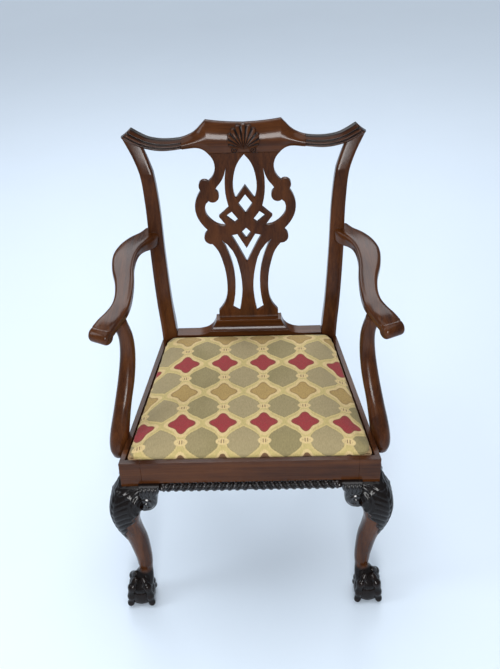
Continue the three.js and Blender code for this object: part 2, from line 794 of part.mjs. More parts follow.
const splatHoles = [
  [...topOval, ...corners([[0, 845]]), ...flip(topOval.slice(1))],
  corners([[0, 824.5], [17.5, 801.5], [0, 777], [-17.5, 801.5]]),
  corners([[0, 742.5], [12, 731], [0, 714.5], [-12, 731]]),
  chevron,
  ...[upperOpening, lowerSlot, sideDiamond].flatMap((hole) => [hole, flip(hole)]),
];
const splatBoard = lean(board([...splatEdge, ...flip(splatEdge)], splatHoles, 0, SPLAT_THICK));
addPiece('splat', 'mahogany', splatBoard.add(splatTenon(0)).add(splatTongue(0)));

// The shoe: a raised seat for the splat that sweeps down to a thin strip over the rear rail.
const SHOE_SWEEP = [
  [81, SHOE_TOP], [83.5, 498], [89, 486], [98, 476.5], [110, 470], [126, SHOE_STRIP_TOP],
];
const shoeEdge = [
  ...smooth(SHOE_SWEEP, 8),
  ...corners([
    [126, SHOE_STRIP_TOP],
    [POST_INNER - GAP, SHOE_STRIP_TOP],
    [POST_INNER - GAP, RAIL_TOP + GAP],
  ]),
];
// The hollow worked along its face, and the small step back above it.
const coveRoll = new THREE.CylinderGeometry(COVE_RADIUS, COVE_RADIUS, 300, 24)
  .rotateZ(Math.PI / 2)
  .translate(0, SHOE_FRONT + COVE_DEPTH - COVE_RADIUS, (COVE_LOW + COVE_HIGH) / 2 + 2);
const shoeFace = solid(coveRoll)
  .intersect(block(-200, 200, 400, 500, COVE_LOW, COVE_HIGH))
  .add(block(-200, 200, 400, SHOE_FRONT + 3, COVE_HIGH - 1, SHOE_TOP + 5));
addPiece(
  'splat_shoe',
  'mahogany',
  solid(board([...shoeEdge, ...flip(shoeEdge)], [], SHOE_FRONT, SHOE_BACK))
    .subtract(shoeFace)
    .subtract(bothSides(postBlank(GAP)))
    .subtract(splatTongue(GAP))
);

// ---------------------------------------------------------------- build: arms

addPair(
  'arm',
  'mahogany',
  armBlank().subtract(postBlank(GAP)).subtract(supportTenon(GAP)).subtract(holeFor(armScrew))
);

const besideRail = slab(
  [
    [FRONT_HALF - 100, 0],
    [sideX(0) + GAP, 0],
    [sideX(200) + GAP, 200],
    [FRONT_HALF - 100, 200],
  ],
  RAIL_BOTTOM - 40,
  RAIL_TOP + GAP
);
addPair(
  'arm_support',
  'mahogany',
  supportBlank()
    .subtract(besideRail)
    .subtract(armBlank(GAP))
    .add(supportTenon(0))
    .subtract(holesFor(supportScrews))
);

for (const item of [...blockScrews.front, ...blockScrews.rear, ...supportScrews, armScrew]) {
  addPair(item.name, 'steel', screw(vector(item.head), vector(item.way), item.length));
}

// ---------------------------------------------------------------- build: drop-in seat

// Plan of the drop-in seat, brought in by `inset` from the outside of its cover.
function seatPlan(inset, y0 = SEAT_FRONT + inset, y1 = SEAT_BACK - inset) {
  const side = LIP + 1 + inset;
  return [
    [-sideX(y0, side), y0],
    [sideX(y0, side), y0],
    [sideX(y1, side), y1],
    [-sideX(y1, side), y1],
  ];
}

// The same plan as a ring with rounded corners; its height is a function of y.
function seatRing(inset, radius, height) {
  const plan = seatPlan(inset).map(([x, y]) => new THREE.Vector2(x, y));
  const ring = [];
  plan.forEach((corner, i) => {
    const before = plan[(i + 3) % 4].clone().sub(corner).normalize();
    const after = plan[(i + 1) % 4].clone().sub(corner).normalize();
    const start = corner.clone().addScaledVector(before, radius);
    const end = corner.clone().addScaledVector(after, radius);
    new THREE.QuadraticBezierCurve(start, corner, end)
      .getPoints(4)
      .forEach((p) => ring.push(new THREE.Vector3(p.x, p.y, height(p.y))));
  });
  return ring;
}

// Height of the cushion's top at a distance from its edge; the back edge falls less.
function crownAt(distance, y) {
  const share = Math.max(0, 1 - distance / CUSHION_SLOPE);
  const fall = CUSHION_DROP * (1 - BACK_FULLNESS * Math.max(0, y / SEAT_BACK) ** 4);
  return CUSHION_CROWN - fall * share ** 2.2;
}

// A crowned pad: upright sides from z0, then a top that rises to its crown.
function crowned(inset, z0, lower) {
  const top = [0, 5, 12, 25, 45, 75, 110].map((step) => {
    const corner = 16 + step / 4;
    return seatRing(inset + step, corner, (y) => crownAt(inset + step, y) - lower);
  });
  return loft([seatRing(inset, 16, () => z0), ...top]);
}

const frameInset = COVER_THICK + GAP;
const frameFloor = LEDGE + GAP;
const frontEdge = SEAT_FRONT + frameInset;
const backEdge = SEAT_BACK - frameInset;
const sideFrom = frontEdge + SEAT_FRAME_WIDTH;
const sideTo = backEdge - SEAT_FRAME_WIDTH;
const frameSide = LIP + 1 + frameInset;
const frameTenon = (grow) =>
  slab(
    sideStrip(frameSide + 10 - grow, frameSide + 38 + grow, sideFrom - 22 - grow, sideTo + 22 + grow),
    frameFloor + 3 - grow,
    frameFloor + 10 + grow
  );

const roundedFrame = loft(
  [frameFloor, SEAT_FRAME_TOP].map((z) => seatRing(frameInset, 16, () => z))
);

const seatRails = {
  front: [frontEdge - 1, sideFrom],
  back: [sideTo, backEdge + 1],
};
for (const [end, [y0, y1]] of Object.entries(seatRails)) {
  const body = slab(seatPlan(frameInset, y0, y1), frameFloor, SEAT_FRAME_TOP)
    .intersect(roundedFrame)
    .subtract(bothSides(frameTenon(GAP)));
  addPiece(`seat_frame_${end}`, 'beech', body);
}
addPair(
  'seat_frame_side',
  'beech',
  slab(
    sideStrip(frameSide, frameSide + SEAT_FRAME_WIDTH, sideFrom + GAP, sideTo - GAP),
    frameFloor,
    SEAT_FRAME_TOP
  ).add(frameTenon(0))
);

// Webbing: three strips from front to back, and three across lying on them.
const webLow = SEAT_FRAME_TOP + GAP;
const webHigh = webLow + WEB_THICK + GAP;
const webMiddle = (SEAT_FRONT + SEAT_BACK) / 2;
[['left', -1], ['middle', 0], ['right', 1]].forEach(([name, step]) => {
  const x = step * 108;
  addPiece(
    `webbing_lengthwise_${name}`,
    'jute',
    block(x - WEB_WIDTH / 2, x + WEB_WIDTH / 2, frontEdge + 12, backEdge - 12, webLow, webLow + WEB_THICK)
  );
});
[['front', -1], ['middle', 0], ['back', 1]].forEach(([name, step]) => {
  const y = webMiddle + step * 104;
  const strip = seatPlan(frameInset + 12, y - WEB_WIDTH / 2, y + WEB_WIDTH / 2);
  addPiece(`webbing_crosswise_${name}`, 'jute', slab(strip, webHigh, webHigh + WEB_THICK));
});

const hessianFloor = webHigh + WEB_THICK + GAP;
const hessianTop = hessianFloor + CLOTH_THICK;
addPiece('seat_hessian', 'jute', slab(seatPlan(frameInset + 6), hessianFloor, hessianTop));

addPiece('seat_stuffing', 'padding', crowned(frameInset, hessianTop + GAP, COVER_THICK + GAP));

addPiece(
  'seat_cover',
  'lattice',
  crowned(0, frameFloor + 1, 0).subtract(crowned(COVER_THICK, frameFloor - 5, COVER_THICK))
);

const dustFront = LEG_BLOCK + 2;
const dustBack = REAR_RAIL_FRONT - 2;
const dustSide = RAIL_THICK + 2;
addPiece(
  'seat_dust_cover',
  'cambric',
  slab(
    [
      [-sideX(dustFront, dustSide), dustFront],
      [sideX(dustFront, dustSide), dustFront],
      [sideX(dustBack, dustSide), dustBack],
      [-sideX(dustBack, dustSide), dustBack],
    ],
    frameFloor - GAP - CLOTH_THICK,
    frameFloor - GAP
  )
);

// ---------------------------------------------------------------- origin

// Middle of the chair's box in plan, on the floor.
const box = new THREE.Box3().setFromObject(chair);
const middle = box.getCenter(new THREE.Vector3());
chair.position.set(-middle.x, -middle.y, 0);
chair.updateMatrixWorld(true);

export default chair;
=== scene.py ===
"""Open armchair in carved mahogany: its carving, polish and woven seat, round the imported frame.

Shapes are worked out in millimetres on the chair's own measuring frame, in which X = 0 is the
centre line, Y = 0 the front face of the front seat rail and Z = 0 the floor. The chair faces -Y.
"""

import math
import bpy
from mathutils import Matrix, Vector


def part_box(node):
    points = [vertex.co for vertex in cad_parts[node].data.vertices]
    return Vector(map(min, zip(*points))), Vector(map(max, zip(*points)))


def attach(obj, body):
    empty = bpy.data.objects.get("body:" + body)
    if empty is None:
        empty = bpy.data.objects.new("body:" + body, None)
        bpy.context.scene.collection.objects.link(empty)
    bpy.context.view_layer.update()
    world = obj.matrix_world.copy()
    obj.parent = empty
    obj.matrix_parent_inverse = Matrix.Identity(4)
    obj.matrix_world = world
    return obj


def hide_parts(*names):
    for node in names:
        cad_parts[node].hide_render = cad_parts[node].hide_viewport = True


bl_info = {
    "name": "Open Armchair",
    "version": (1, 0, 0),
    "blender": (4, 5, 0),
    "location": "3D View > Sidebar > Armchair",
    "description": "Builds the carved frame and the drop-in seat of an open armchair",
    "category": "Add Mesh",
}

import bpy
import numpy as np
from bpy.props import FloatProperty, FloatVectorProperty, PointerProperty
from mathutils import Matrix, Vector

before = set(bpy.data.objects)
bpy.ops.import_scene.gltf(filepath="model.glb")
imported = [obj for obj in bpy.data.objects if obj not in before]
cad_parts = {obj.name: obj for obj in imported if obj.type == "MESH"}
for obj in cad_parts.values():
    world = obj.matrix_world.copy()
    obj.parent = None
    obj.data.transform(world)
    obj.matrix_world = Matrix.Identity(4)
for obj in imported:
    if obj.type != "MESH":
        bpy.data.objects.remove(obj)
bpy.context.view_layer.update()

# From this script's millimetres to the frame's metres
MM = 0.001
RAIL_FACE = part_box("front_seat_rail")[0].y
ORIGIN = np.array([0.0, RAIL_FACE, 0.0])
FRAME_BODY = "chair_frame"
SEAT_BODY = "drop_in_seat"

# Seat frame, in plan
FRONT_HALF = 283.0
REAR_HALF = 219.0
POST_FRONT = 438.0
RAIL_BOTTOM = 397.0
RAIL_TOP = 457.0
LEDGE = 438.0
LIP = 11.0
LEG_BLOCK = 46.0
BACK_RAKE = 0.182
LEG_SWEEP = 62.0
SWEEP_POWER = 1.6

# Left and right, as the sign of X
SIDES = (("right", 1.0), ("left", -1.0))
MIRROR = np.array([-1.0, 1.0, 1.0])

BEVEL_ANGLE = 35
BEVEL_STEPS = 3
BEECH_ROUNDING = 0.001
SCREW_ROUNDING = 0.0003
CLOTH_FRAMES = 20
PAD_VOXEL = 0.0046


# --- settings


def colour(name, description, default):
    """A colour that a user may change, linear red, green and blue."""
    return FloatVectorProperty(
        name=name, description=description, default=default, subtype="COLOR", size=3, min=0, max=1
    )


def length(name, description, default):
    """A length in metres that a user may change."""
    return FloatProperty(
        name=name, description=description, default=default, subtype="DISTANCE", unit="LENGTH"
    )


class ArmchairWood(bpy.types.PropertyGroup):
    """Colours and polish of the mahogany."""

    pale: colour("Pale grain", "Lightest colour in the mahogany's figure", (0.088, 0.0275, 0.0068))
    deep: colour("Deep grain", "Darkest colour in the mahogany's figure", (0.028, 0.008, 0.0027))
    # Painted shade: the near-black that the carving is darkened towards stands for the shade in its
    # hollows, along with the dark polish lodged there.
    carved: colour("Carving", "Colour of the carving's hollows", (0.006, 0.0042, 0.0038))
    beech: colour("Beech", "Colour of the corner blocks and the seat frame", (0.42, 0.26, 0.13))
    polish: FloatProperty(
        name="Polish", description="Roughness of the polished wood", default=0.2, min=0, max=1
    )
    rounding: length("Rounding", "Width of the rounded edges of the sawn pieces", 0.0007)


class ArmchairFabric(bpy.types.PropertyGroup):
    """Colours and repeat of the woven lattice."""

    olive: colour("Olive", "Colour of the large lobed shapes", (0.27, 0.22, 0.098))
    stone: colour("Stone", "Colour of every other large lobed shape", (0.35, 0.28, 0.145))
    band: colour("Band", "Colour of the lattice between the shapes", (0.53, 0.42, 0.165))
    halo: colour("Halo", "Colour of the border round each small lozenge", (0.66, 0.5, 0.24))
    red: colour("Red", "Colour of every other row of lozenges", (0.31, 0.022, 0.03))
    tan: colour("Tan", "Colour of the rows of lozenges between the red ones", (0.43, 0.29, 0.095))
    brown: colour("Brown", "Colour of the knots and the front row of lozenges", (0.16, 0.08, 0.035))
    repeat_across: length("Repeat across", "Distance between two lozenges in a row", 0.0915)
    repeat_along: length("Repeat along", "Distance between two rows of lozenges", 0.1045)


class ArmchairStage(bpy.types.PropertyGroup):
    """Floor, light and camera."""

    floor: colour("Floor", "Colour of the floor", (0.68, 0.77, 0.87))
    light: FloatProperty(name="Light", description="Strength of the softboxes", default=1.0, min=0)
    lens: FloatProperty(name="Lens", description="Focal length in mm", default=49.14, min=10)


# --- shapes in numpy


def curve(knots, values, at, corners=()):
    """Smooth curve through `values` at `knots`, read at `at`: a cubic between each two knots whose
    slope at a knot is the slope of its neighbours' chord, and nought at each of `corners`."""
    knots = np.asarray(knots, float)
    values = np.asarray(values, float)
    at = np.clip(np.asarray(at, float), knots[0], knots[-1])
    slopes = np.gradient(values, knots, axis=0)
    slopes[list(corners)] = 0
    i = np.clip(np.searchsorted(knots, at, side="right") - 1, 0, len(knots) - 2)
    span = knots[i + 1] - knots[i]
    u = (at - knots[i]) / span
    extra = (1,) * (values.ndim - 1)
    u = u.reshape(u.shape + extra)
    span = span.reshape(span.shape + extra)
    rise = values[i + 1] - values[i]
    start, end = slopes[i] * span, slopes[i + 1] * span
    square, cube = 3 * rise - 2 * start - end, start + end - 2 * rise
    return values[i] + u * start + u**2 * square + u**3 * cube


def smoothstep(low, high, value):
    """0 below low, 1 above high, and 3t^2 - 2t^3 between them."""
    t = np.clip((value - low) / (high - low), 0, 1)
    return t * t * (3 - 2 * t)


def fillet(distance, radius):
    """How far a rounded edge falls back at a distance from it: a quarter circle of that radius."""
    inside = radius - np.clip(distance, 0, radius)
    return radius - np.sqrt(radius**2 - inside**2)


def oval(half_width, half_depth, power, count):
    """Rings of x and y with |x/w|^p + |y/d|^p = 1, one row for each value given."""
    given = (half_width, half_depth, power)
    half_width, half_depth, power = (np.atleast_1d(a)[:, None] for a in given)
    angle = (np.arange(count) + 0.5) / count * 2 * np.pi
    c, s = np.cos(angle), np.sin(angle)
    reach = (np.abs(c) ** power + np.abs(s) ** power) ** (-1 / power)
    return half_width * c * reach, half_depth * s * reach


def side_x(y, inward=0.0):
    """X of the right side rail's outer face at Y, or of a line that far inside it."""
    return FRONT_HALF - (FRONT_HALF - REAR_HALF) * y / POST_FRONT - inward


def post_face(z):
    """Y of the rear posts' front faces at Z: swept back below the seat, raked above it."""
    sweep = LEG_SWEEP * (np.clip(RAIL_BOTTOM - z, 0, None) / RAIL_BOTTOM) ** SWEEP_POWER
    return POST_FRONT + sweep + np.clip(z - RAIL_TOP, 0, None) * BACK_RAKE


def skin(points, carved=None, around=True, ends=True):
    """A closed surface from a grid of points in mm: a quad between each two neighbouring rows and
    columns, the last column joined to the first, and a fan to its middle on the first and last row.
    `carved` tells, from 0 to 1, how far each point is darkened towards the carving's near-black,
    as painted shade along with dark polish in the hollows. Faces are turned outwards
    by the sign of the enclosed volume."""
    rows, columns = points.shape[:2]
    index = np.arange(rows * columns).reshape(rows, columns)
    ahead = np.roll(index, -1, axis=1)
    last = columns if around else columns - 1
    quads = np.stack([index[:-1], ahead[:-1], ahead[1:], index[1:]], -1)[:, :last].reshape(-1, 4)
    places = points.reshape(-1, 3)
    shade = np.zeros(len(places)) if carved is None else carved.ravel()
    fans = np.zeros((0, 3), int)
    if ends:
        hubs = np.array([len(places), len(places) + 1])
        places = np.vstack([places, points[0].mean(0), points[-1].mean(0)])
        shade = np.append(shade, [shade[index[0]].mean(), shade[index[-1]].mean()])
        first = np.stack([ahead[0], index[0], np.full(columns, hubs[0])], -1)
        final = np.stack([index[-1], ahead[-1], np.full(columns, hubs[1])], -1)
        fans = np.vstack([first, final])
    corners = np.vstack([quads[:, [0, 1, 2]], quads[:, [0, 2, 3]], fans])
    a, b, c = (places[corners[:, k]] for k in range(3))
    if np.einsum("ij,ij->i", a, np.cross(b, c)).sum() < 0:
        quads, fans = quads[:, ::-1], fans[:, ::-1]
    return places, quads, fans, shade


def turned_profile(radius, height, count):
    """A profile of radii and heights turned about Z: rows follow the profile."""
    angle = np.arange(count) / count * 2 * np.pi
    x = radius[:, None] * np.cos(angle)
    y = radius[:, None] * np.sin(angle)
    return np.stack([x, y, np.broadcast_to(height[:, None], x.shape)], -1)


def tube(path, radius, count=20):
    """A round bar whose centre follows `path` and whose radius may change along it: each ring lies
    across the path, on two directions square to it, and both ends are drawn in to a dome."""
    ahead = np.gradient(path, axis=0)
    ahead /= np.linalg.norm(ahead, axis=1, keepdims=True)
    side = np.cross(ahead, [0.0, 0.0, 1.0])
    side /= np.linalg.norm(side, axis=1, keepdims=True)
    up = np.cross(side, ahead)
    angle = np.arange(count) / count * 2 * np.pi
    ring = np.cos(angle)[:, None] * side[:, None] + np.sin(angle)[:, None] * up[:, None]
    return path[:, None] + ring * np.asarray(radius)[:, None, None]


def add_object(name, data):
    """A new object with that data, linked to the scene."""
    made = bpy.data.objects.new(name, data)
    bpy.context.scene.collection.objects.link(made)
    return made


def make_piece(name, skins, material, body=FRAME_BODY, slot="mahogany", stands_for=(), smooth=True):
    """One object from several closed surfaces in mm, moved to the row frame in metres."""
    vertices, faces, shades, start = [], [], [], 0
    for places, quads, fans, shade in skins:
        vertices.append(places)
        shades.append(shade)
        faces += (quads + start).tolist() + (fans + start).tolist()
        start += len(places)
    place = np.vstack(vertices) * MM + ORIGIN
    mesh = bpy.data.meshes.new(name)
    mesh.from_pydata(place, [], faces)
    mesh.attributes.new("carved", "FLOAT", "POINT").data.foreach_set(
        "value", np.concatenate(shades).astype(np.float32)
    )
    mesh.polygons.foreach_set("use_smooth", np.full(len(mesh.polygons), smooth))
    mesh.materials.append(material)
    piece = add_object(name, mesh)
    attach(piece, body)
    if stands_for:
        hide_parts(*stands_for)
    return piece


def make_pair(name, grids, material, stands_for=None, **settings):
    """The right piece and its mirror image on the left, from grids with the painted shade of their
    carving. The side takes the place of {} in the names."""
    pair = []
    for side, sign in SIDES:
        turned = [skin(points if sign > 0 else points * MIRROR, carved) for points, carved in grids]
        nodes = [stands_for.format(side)] if stands_for else ()
        pair.append(make_piece(name.format(side), turned, material, stands_for=nodes, **settings))
    return pair


def round_edges(piece, width):
    """Bevels every edge that turns more than BEVEL_ANGLE degrees."""
    bevel = piece.modifiers.new("rounded edges", "BEVEL")
    bevel.width = width
    bevel.segments = BEVEL_STEPS
    bevel.limit_method = "ANGLE"
    bevel.angle_limit = math.radians(BEVEL_ANGLE)


# --- shader sockets


class Value:
    """A number's socket. Arithmetic on it adds Math nodes."""

    def __init__(self, shader, socket):
        self.shader = shader
        self.socket = socket

    def _math(self, operation, *values):
        return self.shader.add("ShaderNodeMath", {"operation": operation}, dict(enumerate(values)))

    def __add__(self, other):
        return self._math("ADD", self, other)

    def __sub__(self, other):
        return self._math("SUBTRACT", self, other)

    def __rsub__(self, other):
        return self._math("SUBTRACT", other, self)

    def __mul__(self, other):
        return self._math("MULTIPLY", self, other)

    def __truediv__(self, other):
        return self._math("DIVIDE", self, other)

    def __rtruediv__(self, other):
        return self._math("DIVIDE", other, self)

    def __pow__(self, other):
        return self._math("POWER", self, other)

    def __abs__(self):
        return self._math("ABSOLUTE", self)

    __radd__ = __add__
    __rmul__ = __mul__

    def sine(self):
        return self._math("SINE", self)

    def least(self, other):
        return self._math("MINIMUM", self, other)

    def nearest(self):
        return self._math("ROUND", self)

    def odd(self):
        """1 where a whole number is odd, 0 where it is even."""
        return abs(self._math("FLOORED_MODULO", self, 2.0))

    def between(self, low, high):
        """0 at low, 1 at high, and smooth between them."""
        sockets = {"Value": self, "From Min": low, "From Max": high}
        return self.shader.add("ShaderNodeMapRange", {"interpolation_type": "SMOOTHSTEP"}, sockets)


class Shader:
    """A material's node tree, with one Principled shader."""

    def __init__(self, name):
        self.material = bpy.data.materials.new(name)
        self.material.use_nodes = True
        self.tree = self.material.node_tree
        self.surface = self.tree.nodes["Principled BSDF"]

    def add(self, kind, settings=None, sockets=None, output=0):
        """A node of that kind: its settings first, then the values or links of its sockets."""
        node = self.tree.nodes.new(kind)
        for key, setting in (settings or {}).items():
            setattr(node, key, setting)
        for key, value in (sockets or {}).items():
            self.feed(node.inputs[key], value)
        return Value(self, node.outputs[output])

    def feed(self, socket, value):
        """Links a Value to the socket, or sets the socket's own number, vector or colour."""
        if isinstance(value, Value):
            self.tree.links.new(value.socket, socket)
        elif socket.type == "RGBA":
            socket.default_value = (*value[:3], 1.0)
        else:
            socket.default_value = value

    def finish(self, **sockets):
        """Sets the Principled shader's sockets, spaces in their names written as underscores."""
        for key, value in sockets.items():
            self.feed(self.surface.inputs[key.replace("_", " ")], value)
        return self.material

    def mix(self, factor, first, second, blend="MIX"):
        """The first colour where factor is 0, the second where it is 1."""
        settings = {"data_type": "RGBA", "blend_type": blend}
        return self.add("ShaderNodeMix", settings, {0: factor, 6: first, 7: second}, output=2)

    def axes(self, vector):
        """A vector's X, Y and Z."""
        first = self.add("ShaderNodeSeparateXYZ", {}, {0: vector})
        return [Value(self, socket) for socket in first.socket.node.outputs]

    def place(self, scale=(1.0, 1.0, 1.0)):
        """Object coordinates in metres, each axis multiplied by its scale."""
        here = self.add("ShaderNodeTexCoord", output=3)
        return self.add("ShaderNodeVectorMath", {"operation": "MULTIPLY"}, {0: here, 1: scale})

    def noise(self, vector, scale=1.0, detail=2.0, distortion=0.0):
        sockets = {"Vector": vector, "Scale": scale, "Detail": detail, "Distortion": distortion}
        return self.add("ShaderNodeTexNoise", {}, sockets)

    def attribute(self, name, output=2):
        """A number (output 2) or vector (output 1) kept on the piece's own points."""
        return self.add("ShaderNodeAttribute", {"attribute_name": name}, output=output)

    def bump(self, height, distance, strength=1.0):
        sockets = {"Height": height, "Distance": distance, "Strength": strength}
        return self.add("ShaderNodeBump", {}, sockets)


def dimmed(tint, share):
    """A darker shade of a colour."""
    return tuple(c * share for c in tint)


def grain_scale(axis, across, along):
    """Scale for Object coordinates: coarse along the grain's axis and fine across it."""
    return tuple(along if k == axis else across for k in range(3))


def polished_wood(name, axis, pale, deep, carved, polish, shade=1.0, coat=0.32):
    """French-polished mahogany: broad figure, fine streaks and dark open pores along `axis`, clouds
    of lighter colour, near-black in the hollows of the carving as painted shade along with dark
    polish, under a clear coat. A `shade` below 1 darkens all of it as painted shade."""
    m = Shader(name)
    figure = m.noise(m.place(grain_scale(axis, 42.0, 2.4)), detail=3.0, distortion=0.8)
    streak = m.noise(m.place(grain_scale(axis, 420.0, 9.0)), detail=2.0)
    pores = m.noise(m.place(grain_scale(axis, 1500.0, 42.0)), detail=1.0).between(0.62, 0.72)
    cloud = m.noise(m.place(), scale=9.0, detail=2.0)
    tone = (figure * 0.62 + streak * 0.3 + cloud * 0.35).between(0.42, 0.86)
    pale, deep = dimmed(pale, shade), dimmed(deep, shade)
    base = m.mix(pores * 0.55, m.mix(tone, deep, pale), dimmed(deep, 0.4))
    # Painted shade: mixes towards the near-black where the carved attribute is high, along with
    # dark polish.
    depth = m.attribute("carved")
    base = m.mix(depth.between(0.0, 0.9), base, carved)
    rough = polish + (cloud - 0.5) * 0.1 + streak * 0.05 + depth * 0.05
    normal = m.bump(figure * 0.5 - pores * 0.25, 0.00025, 0.35)
    return m.finish(
        Base_Color=base,
        Roughness=rough,
        Normal=normal,
        Coat_Weight=coat,
        Coat_Roughness=0.15,
        Specular_IOR_Level=0.04,
    )


def planed_wood(name, axis, tint):
    """Plain planed beech: fine grain with small brown flecks and no polish."""
    m = Shader(name)
    grain = m.noise(m.place(grain_scale(axis, 160.0, 5.0)), detail=3.0)
    fleck = m.noise(m.place(grain_scale(axis, 700.0, 120.0)), detail=1.0).between(0.6, 0.68)
    base = m.mix(grain.between(0.3, 0.7), dimmed(tint, 0.72), tint)
    base = m.mix(fleck * 0.5, base, dimmed(tint, 0.4))
    normal = m.bump(grain, 0.0002, 0.4)
    return m.finish(Base_Color=base, Roughness=0.62 + grain * 0.15, Normal=normal)


def plain_weave(name, pale, deep, pitch):
    """Coarse cloth: warp and weft as two crossed sine waves, one thread over the other by turns."""
    m = Shader(name)
    warp, weft, _ = m.axes(m.place((2 * math.pi / pitch,) * 3))
    weave = warp.sine() * weft.sine()
    slub = m.noise(m.place(), scale=120.0, detail=3.0)
    base = m.mix((weave * 0.35 + slub).between(0.1, 0.9), deep, pale)
    return m.finish(Base_Color=base, Roughness=0.9, Normal=m.bump(weave, 0.0004, 0.6))


def dull_steel():
    """Screw steel: turned marks and a little rust in blotches."""
    m = Shader("screw steel")
    marks = m.noise(m.place((900.0, 900.0, 900.0)), detail=2.0)
    rust = m.noise(m.place(), scale=260.0, detail=3.0).between(0.55, 0.7)
    base = m.mix(rust * 0.6, (0.32, 0.3, 0.27), (0.16, 0.07, 0.03))
    return m.finish(Base_Color=base, Metallic=1 - rust * 0.7, Roughness=0.35 + marks * 0.25)


def radial(x, y, size, four, eight):
    """Share of the way to a lobed figure's edge: distance over size(1 + a cos 4t + b cos 8t)."""
    reach = (x * x + y * y + 1e-9) ** 0.5
    c2 = (x / reach) ** 2.0
    cos4 = c2 * c2 * 8.0 - c2 * 8.0 + 1.0
    cos8 = cos4 * cos4 * 2.0 - 1.0
    return reach / ((cos4 * four + cos8 * eight + 1.0) * size)


# Figures of the woven lattice, in metres on the flat cloth
LATTICE_START = (0.033, 0.102)
LATTICE_WOBBLE = 0.02
LOZENGE_SIZE = 0.0256
LOZENGE_LOBES = (0.185, 0.018)
FIGURE_HALF_WIDTH = 0.0365
FIGURE_SLOPES = (0.058, 0.0392)
FIGURE_POWER = 7
KNOT_HALF = (0.0085, 0.0048)
KNOT_MARK_PITCH = 0.0056
THREAD_PITCH = 0.0011
THREAD_SHADE = (0.78, 0.77, 0.74)


def lattice_weave(settings):
    """Woven lattice: rows of small four-lobed lozenges, red and tan by turns and brown in front,
    with large six-sided figures at half a repeat between them and bands that carry small knots.
    It reads each point's place on the flat cloth, in metres, from the attribute cloth_place."""
    m = Shader("lattice fabric")
    x, y, _ = m.axes(m.attribute("cloth_place", output=1))
    wobble = (m.noise(m.place(), scale=55.0, detail=2.0) - 0.5) * LATTICE_WOBBLE
    across = (x - LATTICE_START[0]) / settings.repeat_across + wobble
    along = (y - LATTICE_START[1]) / settings.repeat_along + wobble
    row, column = along.nearest(), across.nearest()
    dx = (across - column) * settings.repeat_across
    dy = (along - row) * settings.repeat_along
    half_column = (across - 0.5).nearest()
    hx = (across - half_column - 0.5) * settings.repeat_across
    hy = (along - (along - 0.5).nearest() - 0.5) * settings.repeat_along

    lozenge = radial(dx, dy, LOZENGE_SIZE, *LOZENGE_LOBES)
    upright = abs(hx) / FIGURE_HALF_WIDTH
    sloped = abs(hx) / FIGURE_SLOPES[0] + abs(hy) / FIGURE_SLOPES[1]
    figure = (upright**FIGURE_POWER + sloped**FIGURE_POWER) ** (1 / FIGURE_POWER)
    half_row = 0.5 * settings.repeat_along
    knot_y = abs(dy - half_row).least(abs(dy + half_row))
    knot = ((dx / KNOT_HALF[0]) ** 2.0 + (knot_y / KNOT_HALF[1]) ** 2.0) ** 0.5
    marks = (dx * (2 * math.pi / KNOT_MARK_PITCH) - math.pi / 2).sine().between(-0.2, 0.5)

    patch = m.noise(m.place(), scale=11.0, detail=1.0)
    large = m.mix(half_column.odd(), settings.olive, settings.stone)
    large = m.mix(patch.between(0.35, 0.65) * 0.5, large, settings.stone)
    small = m.mix(row.odd(), settings.red, settings.tan)
    front_row = row.between(-0.4, -0.6)
    small = m.mix(front_row, small, settings.brown)
    lozenge = lozenge * (front_row * 0.28 + 1.0)
    tuft = m.noise(m.place((330.0, 330.0, 330.0)), detail=2.0).between(0.4, 0.64)
    small = m.mix(tuft * 0.45, small, m.mix(0.5, small, settings.brown))
    small = m.mix(lozenge.between(0.82, 0.95) * 0.35, small, settings.brown)
    ground = m.mix(lozenge.between(1.38, 1.24), settings.band, settings.halo)
    border = figure.between(1.16, 1.1) * figure.between(1.02, 1.06)
    ground = m.mix(border * 0.5, ground, settings.halo)
    ground = m.mix(figure.between(1.03, 0.99), ground, large)
    outline = figure.between(0.96, 0.99) * figure.between(1.05, 1.02) * tuft
    ground = m.mix(outline * 0.5, ground, dimmed(settings.olive, 0.45))
    ground = m.mix(lozenge.between(1.32, 1.26), ground, settings.halo)
    ground = m.mix(lozenge.between(1.04, 0.98), ground, small)
    ground = m.mix(knot.between(1.9, 1.6), ground, settings.halo)
    base = m.mix(knot.between(1.05, 0.85) * marks * 0.75, ground, settings.brown)

    thread = 2 * math.pi / THREAD_PITCH
    warp, weft = (x * thread).sine(), (y * thread).sine()
    slub = m.noise(m.place((500.0, 160.0, 160.0)), detail=2.0)
    fine = (warp * weft * 0.12 + slub).between(0.2, 0.8)
    base = m.mix(fine, m.mix(1.0, base, THREAD_SHADE, blend="MULTIPLY"), base)
    relief = warp * weft * 0.4 + figure.between(1.05, 0.95) * 0.8 + lozenge.between(1.1, 0.9) * 0.8
    return m.finish(
        Base_Color=base,
        Roughness=0.78 + slub * 0.1,
        Normal=m.bump(relief, 0.0004, 0.5),
        Sheen_Weight=0.15,
        Sheen_Roughness=0.4,
    )


# --- shared finishes

FINISHES = {}


